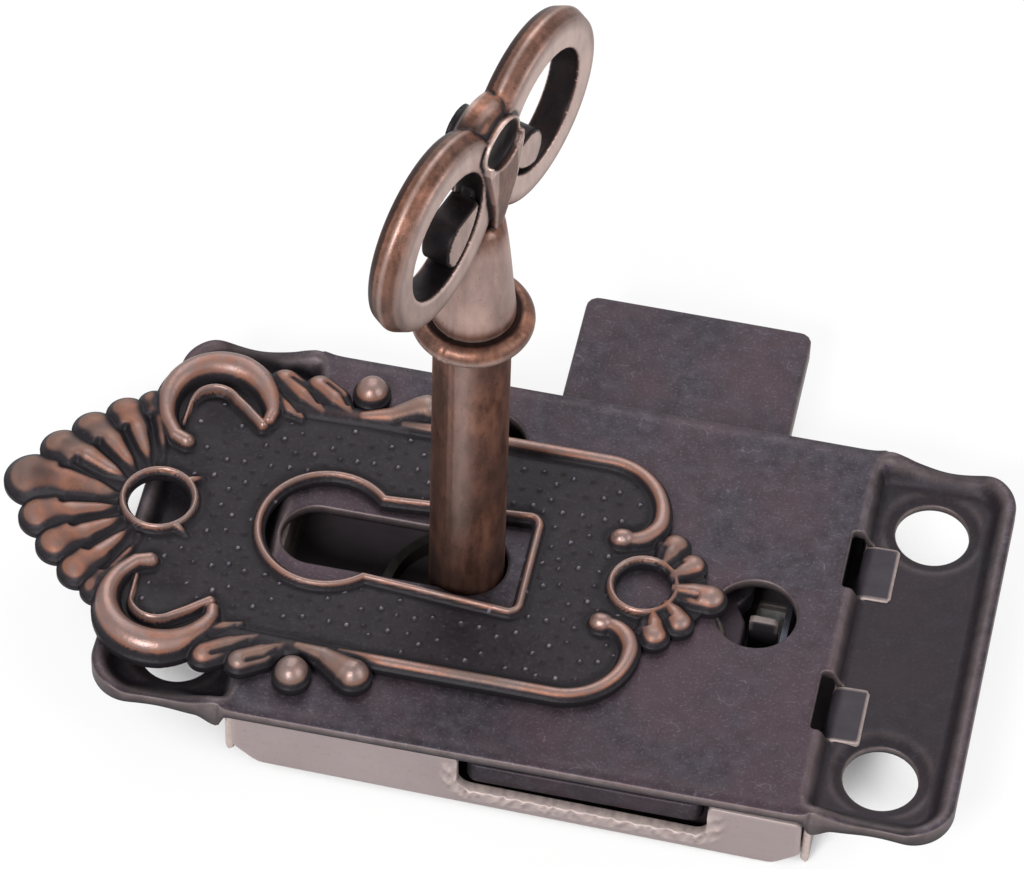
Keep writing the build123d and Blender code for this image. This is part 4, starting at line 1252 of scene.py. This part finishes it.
def bow_tones(u, w, z):
    """Where the wash is rubbed pale (below 0 where it stays brown), and where it is dark: patina and
    painted shade in creases and the knot's dished ends, painted shade in the loops' holes, on the knot's
    dome and on the far bevels.
    """
    mid_u, ring_w, knot_w, knot_z = u - BOW_OFF_U, w + BOW_OFF_W, w - BOW_OFF_W, z - KNOT_Z
    side_u, side_w, end_w = np.abs(mid_u), np.abs(ring_w), np.abs(knot_w)
    arm = np.hypot(side_u - LOOP_U, z - BOW_Z)
    on_ring = (arm < LOOP_HOLE_R + LOOP_WALL + 0.25) & (side_u > 1.2)
    face = ramp(side_w, LOOP_HALF - 0.16, LOOP_HALF - 0.04) * (arm > LOOP_HOLE_R - 0.1) * on_ring
    cone = ramp(z, CONE_Z + 0.2, CONE_Z + 1.2) * (1 - ramp(z, CONE_TOP - 2.5, CONE_TOP)) * ~on_ring
    leaf = (leaf_distance(side_u, ring_w, z) < 0.08) & (side_u > 1.5)
    pale = np.where(leaf & (side_w > 0.85), 0.8, np.maximum(face, 0.6 * cone))
    # Painted shade on the inner walls of the loops' holes.
    inside = np.clip((LOOP_HOLE_R + 0.12 - arm) / 0.1, 0, 1) * (side_w < LOOP_HALF - 0.12)
    # Patina and painted shade in the crease round the leaf.
    groove = leaf * ramp(arm, LOOP_HOLE_R - 0.48, LOOP_HOLE_R - 0.38) * ramp(side_w, 1.0, 0.8)
    reach = np.hypot(mid_u / KNOT_OVAL, knot_z)
    # Patina and painted shade in the knot's dished ends and beside the knot where it meets the loops.
    dish = ramp(end_w, 1.1, 1.35) * ramp(reach, 1.66, 1.45)
    beside = swell(side_u, 2.3, 0.8) * ramp(end_w, 1.5, 1.1) * ramp(knot_z, -1.6, -0.9)
    beside = beside * (knot_z < 1.9)
    # The crown's far bevel gets painted shade; the near bevel is only a little darker.
    crown = ramp(arm, LOOP_HOLE_R + 1.2, LOOP_HOLE_R + LOOP_WALL) * on_ring
    far_bevel_shade, near_band = ramp(ring_w, 0.05, 0.5) * crown, ramp(-ring_w, 0.0, 0.3) * crown
    # Painted shade on the lower left of the knot's dome.
    dome = ramp(knot_w, -1.1, -0.8) * ramp(mid_u, 0.3, -0.6) * ramp(knot_z, 2.55, 2.1)
    dome = dome * (np.abs(knot_z) < 2.6) * (reach < 2.7)
    masks = ((inside, 0.95), (dish, 1.0), (beside, 0.95), (groove, 0.95))
    masks += ((far_bevel_shade, 0.78), (near_band, 0.22), (dome, 0.85))
    patina_and_shade = np.maximum.reduce([mask * share for mask, share in masks])
    tongue = ramp(tongue_distance(mid_u, ring_w, z), 0.35, 0.1) * (knot_z < -1.2) * ~leaf
    on_knot = knot_distance(mid_u, knot_w, z) < 0.12
    ends = on_knot & (end_w > 1.0) & (np.abs(knot_z) < 2.3)
    return pale * (1 - patina_and_shade) - 0.8 * ends - 0.5 * tongue * (side_w > 1.2), patina_and_shade


def parting_ridge(across):
    """Height of the two fine ridges that the mould left beside the parting line."""
    pair = [swell(across, place, PARTING_WIDTH) for place in (PARTING_OUT, -PARTING_OUT)]
    return bpy.context.scene.lock_key.parting / MM * sum(pair)


CELL_CORNERS, CELL_PULLS, CELL_STEP = 8, 2, 0.02


def surface_cells(distance, low, high, cell):
    """Meshes the zero level of a distance with one point in each crossed cell."""
    counts = [int(round((high[k] - low[k]) / cell)) + 1 for k in range(3)]
    axes = [low[k] + cell * np.arange(counts[k]) for k in range(3)]
    values = distance(*np.meshgrid(*axes, indexing="ij"))
    inside = values < 0
    filled = inside.astype(np.int8)
    for axis, count in enumerate(counts):
        filled = np.take(filled, range(count - 1), axis) + np.take(filled, range(1, count), axis)
    mixed = (filled > 0) & (filled < CELL_CORNERS)
    index = np.full(mixed.shape, -1)
    index[mixed] = np.arange(mixed.sum())
    cells = np.argwhere(mixed)
    total = np.zeros((len(cells), 3))
    hits = np.zeros((len(cells), 1))
    for axis in range(3):
        others = [k for k in range(3) if k != axis]
        for i in (0, 1):
            for j in (0, 1):
                start = cells.copy()
                start[:, others[0]] += i
                start[:, others[1]] += j
                end = start.copy()
                end[:, axis] += 1
                a, b = values[tuple(start.T)], values[tuple(end.T)]
                crossed = (a < 0) != (b < 0)
                share = np.where(crossed, a / np.where(crossed, a - b, 1), 0)
                place = start.astype(float)
                place[:, axis] += share
                total += place * crossed[:, None]
                hits += crossed[:, None]
    points = np.array(low) + cell * total / hits
    for _ in range(CELL_PULLS):
        value = distance(*points.T)
        slope = gradient(distance, points, CELL_STEP)
        points = points - slope * (value / (np.sum(slope**2, axis=1) + 1e-9))[:, None]
    return points, cell_faces(inside, index)


def cell_faces(inside, index):
    """One face for each grid edge that the surface crosses, between the four cells round it."""
    faces = []
    for axis in range(3):
        one, two = [k for k in range(3) if k != axis]
        first = [slice(None)] * 3
        second = [slice(None)] * 3
        first[axis], second[axis] = slice(0, -1), slice(1, None)
        place = np.argwhere(inside[tuple(first)] != inside[tuple(second)])
        keep = (place[:, one] > 0) & (place[:, two] > 0)
        keep &= (place[:, one] < inside.shape[one] - 1) & (place[:, two] < inside.shape[two] - 1)
        place = place[keep]
        ring = []
        for i, j in ((0, 0), (1, 0), (1, 1), (0, 1)):
            spot = place.copy()
            spot[:, one] -= i
            spot[:, two] -= j
            ring.append(index[tuple(spot.T)])
        ring = np.column_stack(ring)
        out = inside[tuple(first)][tuple(place.T)]
        turn = out if axis != 1 else ~out
        ring[turn] = ring[turn][:, ::-1]
        faces.append(ring)
    return [tuple(f) for f in np.concatenate(faces).tolist()]


def both_sides(distance, points, step):
    """For each axis, the distance a step after and a step before every point."""
    for shift in step * np.eye(3):
        yield distance(*(points + shift).T), distance(*(points - shift).T)


def gradient(distance, points, step):
    """Slope of the distance at each point."""
    pairs = both_sides(distance, points, step)
    return np.column_stack([(after - before) / (2 * step) for after, before in pairs])


def bending(distance, points, reach):
    """Positive on crests and negative in hollows, in 1/mm."""
    total = -6 * distance(*points.T)
    for after, before in both_sides(distance, points, reach):
        total += after + before
    return total / reach**2


def shank_profile():
    """Radius and height along the bore, the shank and the bead of the collar."""
    bead_r, bead_z = 0.85, (COLLAR_Z + CONE_Z) / 2
    turn = np.radians(np.linspace(-90, 80, 18))
    bead = [(COLLAR_R - bead_r + bead_r * math.cos(t), bead_z + 0.86 * math.sin(t)) for t in turn]
    foot = ((BORE_R + 0.12, 0), (SHANK_R - 0.35, 0), (SHANK_R - 0.1, 0.08), (SHANK_R, 0.35))
    bore = ((0.01, 11), (BORE_R, 10.4), (BORE_R, 0.3))
    low = [(radius, KEY_BASE + up) for radius, up in bore + foot]
    rise = [(SHANK_R, z) for z in np.linspace(KEY_BASE + 1, COLLAR_Z - 0.35, 40)]
    neck = [(SHANK_R + 0.06, COLLAR_Z - 0.12), (SHANK_R + 0.3, COLLAR_Z)]
    top = [(3.25, CONE_Z - 0.12), (2.95, CONE_Z - 0.3), (2.3, CONE_Z - 0.32)]
    return low + rise + neck + bead + top


def lathe(profile, count):
    """Turns a profile round the shank's axis, with the mould's ridges on its two sides."""
    radius, z = np.array(profile).T
    turn = 2 * math.pi * np.arange(count) / count
    arm = radius[:, None] + np.zeros(count)
    across = np.minimum(np.abs(np.sin(turn)) * radius[:, None], 9)
    outer = radius[:, None] > SHANK_R - 0.4
    arm = arm + parting_ridge(across) * outer
    grid_z = np.repeat(z[:, None], count, axis=1)
    points = np.stack((arm * np.cos(turn), arm * np.sin(turn), grid_z), -1).reshape(-1, 3)
    index = np.arange(len(profile) * count).reshape(len(profile), count)
    after = np.roll(index, -1, axis=1)
    faces = np.stack((index[:-1], after[:-1], after[1:], index[1:]), -1).reshape(-1, 4)
    return points, [tuple(f) for f in faces.tolist()]


def bit_plate():
    """The bit with its slot for the ward, standing beside the shank."""
    reach, top, margin, cell, edge_r = KEY_X - CASE_MID + 19.75, 1.1, 0.4, 0.25, 0.2

    def outline(u, z):
        body = box_distance(u, z, (1.9, KEY_BASE), (reach, top), 0.25)
        slot = box_distance(u, z, (5.4, KEY_BASE - 3), (6.5, -1.75), 0.1)
        return cut_all(body, slot)

    def side(u, z):
        return 1.0 - 0.06 * ramp(u, 4, reach)

    def other(u, z):
        return -side(u, z)

    low, high = (1.5, KEY_BASE - 0.3), (reach + margin, top + margin)
    points, faces = sheet_mesh(outline, side, other, low, high, cell, edge_r, 3)
    return points[:, [0, 2, 1]] * (1, -1, 1), faces


# Direction round the shank of its painted highlight.
HIGHLIGHT_ANGLE, SHANK_STEPS, BIT_DARK = -164.0, 224, 0.4


def copper_casting(name):
    """Satin red copper wash: streaked and speckled, paler where rubbed and along the shank's painted
    highlight, dark with patina and painted shade in creases.
    """
    tones = shades()
    look = Finish(name, specular=0.25)
    point = look.place()
    mottle = look.noise(look.stretch(point, (1.0, 1.0, 0.35)), 0.9, 4.0, 0.62)
    fine = look.noise(point, 3.2, 3.0, 0.7)
    grain = look.noise(point, 8.0, 2.0, 0.6)
    cloud = look.noise(point, 0.22, 2.0, 0.5)
    crest, hollow = look.attribute("worn"), look.attribute("dark")
    brown, red = shaded(tones.key_red, 0.27), shaded(tones.key_red, 1.1)
    base = look.mix(((mottle - 0.36) * 3.2).clamp(), brown, red)
    base = look.mix(cloud.above(0.52, 0.2) * 0.45, base, KEY_CLOUD)
    base = look.mix((fine * 1.6 - 0.45 + 0.5 * (grain - 0.5)).clamp() * 0.3, base, KEY_GRAIN)
    # The worn layer brings rubbed crests and the painted highlight down the shank.
    rub_and_highlight = (crest * (0.5 + 0.8 * mottle)).clamp()
    base = look.mix(rub_and_highlight, base, look.mix(cloud, tones.key_pale, shaded(tones.key_pale, 0.8)))
    base = look.mix(fine.above(0.66, 0.06) * (1 - rub_and_highlight) * 0.7, base, KEY_SPECK)
    # The dark layer brings patina in the hollows and painted shade.
    base = look.mix((hollow * (0.75 + 0.5 * mottle)).clamp(), base, tones.hollow)
    rough = 0.36 + 0.14 * fine
    bumps = look.bump(0.5 * fine + 0.3 * mottle + 0.3 * grain, 0.035)
    return look.close(base_color=base, roughness=rough, metallic=0.7, normal=bumps)


def shank_tones(points):
    """Where the shank and its collar are paler: the rubbed bead and a painted highlight down the shank; and
    where darker: the collar's groove, with painted shade on one side, under the collar and at the lower
    end.
    """
    x, y, z = points.T
    radius = np.hypot(x, y)
    on_shank = radius < SHANK_R + 0.1
    facing = (np.arctan2(y, x) - math.radians(HIGHLIGHT_ANGLE) + math.pi) % (2 * math.pi) - math.pi
    bead = np.clip((radius - COLLAR_R + 0.35) / 0.35, 0, 1) * ramp(z, CONE_Z - 0.5, CONE_Z - 0.95)
    # Painted highlight down one side of the shank.
    streak = swell(facing, 0, 0.26) * ramp(z, 4.0, 14.0) * on_shank
    # Painted shade down the shank's other side.
    side_shade = swell(facing, -0.85, 0.3) * on_shank
    groove = swell(z, CONE_Z - 0.1, 0.3) * ramp(radius, 3.55, 3.2)
    # Painted shade under the collar and at the shank's lower end.
    under = swell(z, COLLAR_Z - 0.1, 0.4) * (radius < SHANK_R + 0.35)
    low_end_shade = 1 - ramp(z, 2.5, 8.0)
    dark = np.clip(groove + 0.7 * under + 0.45 * low_end_shade + 0.35 * side_shade, 0, 1)
    return np.maximum(bead * 0.6, streak * 0.42), dark


def build_key():
    """The key: bow, turned shank and bit are made apart and turned together to the bow's angle."""
    sizes = bpy.context.scene.lock_key
    low, high = (-14.0, -3.5, CONE_Z - 0.6), (14.6, 3.5, BOW_Z + 8.2)
    bow, bow_faces = surface_cells(bow_distance, low, high, sizes.cell / MM)
    bend = bending(bow_distance, bow, 0.3)
    u, w, z = bow.T
    pale, patina_and_shade = bow_tones(u, w, z)
    crest = np.maximum((bend - 0.8) / 2.6 + np.minimum(pale, 0), pale) * (1 - patina_and_shade)
    # hollow takes the surface's hollows and what bow_tones darkens: patina and painted shade.
    hollow = np.maximum((-bend - 0.35) / 1.6, patina_and_shade)
    push = parting_ridge(w) * (z < CONE_TOP - 1) * (u < 0)
    bow = bow + gradient(bow_distance, bow, 0.05) * push[:, None]
    shank, shank_faces = lathe(shank_profile(), SHANK_STEPS)
    bit, bit_faces = bit_plate()
    # The shank's rubbed share holds a painted highlight, and its dull share is mostly painted shade.
    rubbed, dull = shank_tones(shank)
    worn = np.concatenate((np.clip(crest, 0, 1), rubbed, np.zeros(len(bit))))
    dark = np.concatenate((np.clip(hollow, 0, 1), dull, np.full(len(bit), BIT_DARK)))
    turn = np.array(Matrix.Rotation(sizes.bow_angle, 3, "Z"))
    parts = [
        (points @ turn.T + (KEY_X, 0, 0), faces)
        for points, faces in ((bow, bow_faces), (shank, shank_faces), (bit, bit_faces))
    ]
    look = copper_casting("key copper")
    make_piece("cast_key", parts, look, "key", "key", "key_copper", worn=worn, dark=dark)


SEEN_RAYS = ("Is Camera Ray", "Is Glossy Ray", "Is Transmission Ray")
PHOTO_LENS, PHOTO_SPOT = 221.52, (0.045010, -0.265791, 0.359891)
PHOTO_AHEAD, PHOTO_RIGHT = (-0.11181, 0.60968, -0.78473), (0.97838, 0.20579, 0.02047)
FLOOR_HALF, FLOOR_GAP, FLOOR_TONE = 1.5, 0.0005, 0.86
WORLD_LIGHT, WORLD_SEEN = 0.32, 1.0
LAMPS = (
    ("key softbox", (-0.14, -0.52, 0.44), 0.2, 4.8),
    ("fill softbox", (0.55, -0.05, 0.34), 0.4, 1.9),
    ("back softbox", (-0.1, 0.5, 0.5), 0.5, 2.4),
)


def add_camera(scene):
    """The camera at the photograph's angle."""
    camera = bpy.data.cameras.new("photo camera")
    camera.lens = PHOTO_LENS
    camera.sensor_width = 36.0
    camera.clip_start, camera.clip_end = 0.02, 20.0
    view = bpy.data.objects.new("photo camera", camera)
    scene.collection.objects.link(view)
    ahead = Vector(PHOTO_AHEAD).normalized()
    right = Vector(PHOTO_RIGHT)
    right = (right - ahead * right.dot(ahead)).normalized()
    turn = Matrix((right, right.cross(ahead), -ahead)).transposed().to_4x4()
    view.matrix_world = Matrix.Translation(PHOTO_SPOT) @ turn
    scene.camera = view


def add_floor(scene):
    """A pale floor that is seen white and keeps the lock's shadow near its foot."""
    height = min(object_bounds()[0][2], cad_box[0][2]) - FLOOR_GAP
    corners = [(i * FLOOR_HALF, j * FLOOR_HALF, height) for i, j in ((-1, -1), (1, -1), (1, 1), (-1, 1))]
    mesh = bpy.data.meshes.new("floor")
    mesh.from_pydata(corners, [], [(0, 1, 2, 3)])
    floor = bpy.data.objects.new("floor", mesh)
    scene.collection.objects.link(floor)
    floor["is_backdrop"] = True
    look = Finish("pale floor")
    rays = [look.add("ShaderNodeLightPath", output=kind) for kind in SEEN_RAYS]
    open_sky = look.add("ShaderNodeAmbientOcclusion", {"samples": 12}, {"Distance": 0.012}, output="AO")
    seen = (rays[0] + rays[1] + rays[2]).clamp() * ((open_sky - 0.2) * 5.0).clamp()
    white = look.add("ShaderNodeEmission", {}, {"Color": (1, 1, 1, 1), "Strength": 1.0})
    look.shader.inputs["Base Color"].default_value = (FLOOR_TONE, FLOOR_TONE, FLOOR_TONE, 1)
    look.shader.inputs["Roughness"].default_value = 0.9
    plain = Socket(look, look.shader.outputs[0])
    mixed = look.add("ShaderNodeMixShader", {}, (seen * 0.85, plain, white))
    look.tree.links.new(mixed.output, look.tree.nodes["Material Output"].inputs["Surface"])
    mesh.materials.append(look.material)


def add_world(scene):
    """A soft grey light all round, which cameras and reflections see as white."""
    world = bpy.data.worlds.new("studio")
    world.use_nodes = True
    scene.world = world
    tree = world.node_tree
    background = tree.nodes["Background"]
    background.inputs["Color"].default_value = (1, 1, 1, 1)
    paths = tree.nodes.new("ShaderNodeLightPath")
    seen = paths.outputs[SEEN_RAYS[0]]
    for kind in SEEN_RAYS[1:]:
        either = tree.nodes.new("ShaderNodeMath")
        either.operation = "MAXIMUM"
        tree.links.new(seen, either.inputs[0])
        tree.links.new(paths.outputs[kind], either.inputs[1])
        seen = either.outputs[0]
    strength = tree.nodes.new("ShaderNodeMix")
    strength.inputs["A"].default_value = WORLD_LIGHT
    strength.inputs["B"].default_value = WORLD_SEEN
    tree.links.new(seen, strength.inputs["Factor"])
    tree.links.new(strength.outputs["Result"], background.inputs["Strength"])


def add_lamps(scene):
    """Three soft lamps that look at the lock."""
    for name, spot, size, power in LAMPS:
        lamp = bpy.data.lights.new(name, "AREA")
        lamp.size = size
        lamp.energy = power
        holder = bpy.data.objects.new(name, lamp)
        scene.collection.objects.link(holder)
        place = Vector(spot)
        turn = place.to_track_quat("Z", "Y").to_matrix().to_4x4()
        holder.matrix_world = Matrix.Translation(place) @ turn


def build_stage():
    """Camera, floor, world and soft lamps."""
    scene = bpy.context.scene
    scene.view_settings.view_transform = "Standard"
    for add in (add_camera, add_floor, add_world, add_lamps):
        add(scene)


class LockOperator:
    """Shared settings of the operators that build a group of pieces."""

    bl_options = {"REGISTER", "UNDO"}


class LOCK_OT_cover(LockOperator, bpy.types.Operator):
    """Builds the pressed cover with its dished ears"""

    bl_idname = "lock.cover"
    bl_label = "Pressed Cover"

    def execute(self, context):
        build_cover()
        return {"FINISHED"}


class LOCK_OT_case(LockOperator, bpy.types.Operator):
    """Builds the folded case with its clinched tabs"""

    bl_idname = "lock.case"
    bl_label = "Folded Case"

    def execute(self, context):
        build_case()
        return {"FINISHED"}


class LOCK_OT_bolt(LockOperator, bpy.types.Operator):
    """Builds the sliding bolt"""

    bl_idname = "lock.bolt"
    bl_label = "Sliding Bolt"

    def execute(self, context):
        build_bolt()
        return {"FINISHED"}


class LOCK_OT_inner(LockOperator, bpy.types.Operator):
    """Dresses the pieces inside the case"""

    bl_idname = "lock.inner"
    bl_label = "Inner Pieces"

    def execute(self, context):
        dress_inner()
        return {"FINISHED"}


class LOCK_OT_escutcheon(LockOperator, bpy.types.Operator):
    """Builds the loose escutcheon with its relief"""

    bl_idname = "lock.escutcheon"
    bl_label = "Relief Escutcheon"

    def execute(self, context):
        build_escutcheon()
        return {"FINISHED"}


class LOCK_OT_key(LockOperator, bpy.types.Operator):
    """Builds the cast key"""

    bl_idname = "lock.key"
    bl_label = "Cast Key"

    def execute(self, context):
        build_key()
        return {"FINISHED"}


class LOCK_OT_stage(LockOperator, bpy.types.Operator):
    """Sets up the floor, the lights and the camera"""

    bl_idname = "lock.stage"
    bl_label = "Stage"

    def execute(self, context):
        build_stage()
        return {"FINISHED"}


OPERATORS = (
    LOCK_OT_stage,
    LOCK_OT_cover,
    LOCK_OT_case,
    LOCK_OT_bolt,
    LOCK_OT_inner,
    LOCK_OT_escutcheon,
    LOCK_OT_key,
)
GROUPS = {
    "lock_cover": LockCoverSettings,
    "lock_key": LockKeySettings,
    "lock_relief": LockReliefSettings,
    "lock_colours": LockColours,
}


class LOCK_PT_panel(bpy.types.Panel):
    """Lists the lock's pieces and their settings"""

    bl_idname = "LOCK_PT_panel"
    bl_label = "Furniture Lock"
    bl_space_type = "VIEW_3D"
    bl_region_type = "UI"
    bl_category = "Lock"

    def draw(self, context):
        for operator in OPERATORS:
            self.layout.operator(operator.bl_idname)
        for name, kind in GROUPS.items():
            box = self.layout.box()
            for key in kind.__annotations__:
                box.prop(getattr(context.scene, name), key)


CLASSES = (*GROUPS.values(), *OPERATORS, LOCK_PT_panel)


def register():
    """Makes the classes known and gives the scene its settings."""
    for cls in CLASSES:
        bpy.utils.register_class(cls)
    for name, kind in GROUPS.items():
        setattr(bpy.types.Scene, name, bpy.props.PointerProperty(type=kind))


def unregister():
    """Takes the settings and the classes away again."""
    for name in GROUPS:
        delattr(bpy.types.Scene, name)
    for cls in reversed(CLASSES):
        bpy.utils.unregister_class(cls)


def main():
    """Builds the stage and the lock."""
    register()
    bpy.ops.lock.stage()
    bpy.ops.lock.cover()
    bpy.ops.lock.case()
    bpy.ops.lock.bolt()
    bpy.ops.lock.inner()
    bpy.ops.lock.escutcheon()
    bpy.ops.lock.key()
    sizes = [[list(map(float, corner)) for corner in box] for box in (cad_box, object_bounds())]


if __name__ == "__main__":
    main()
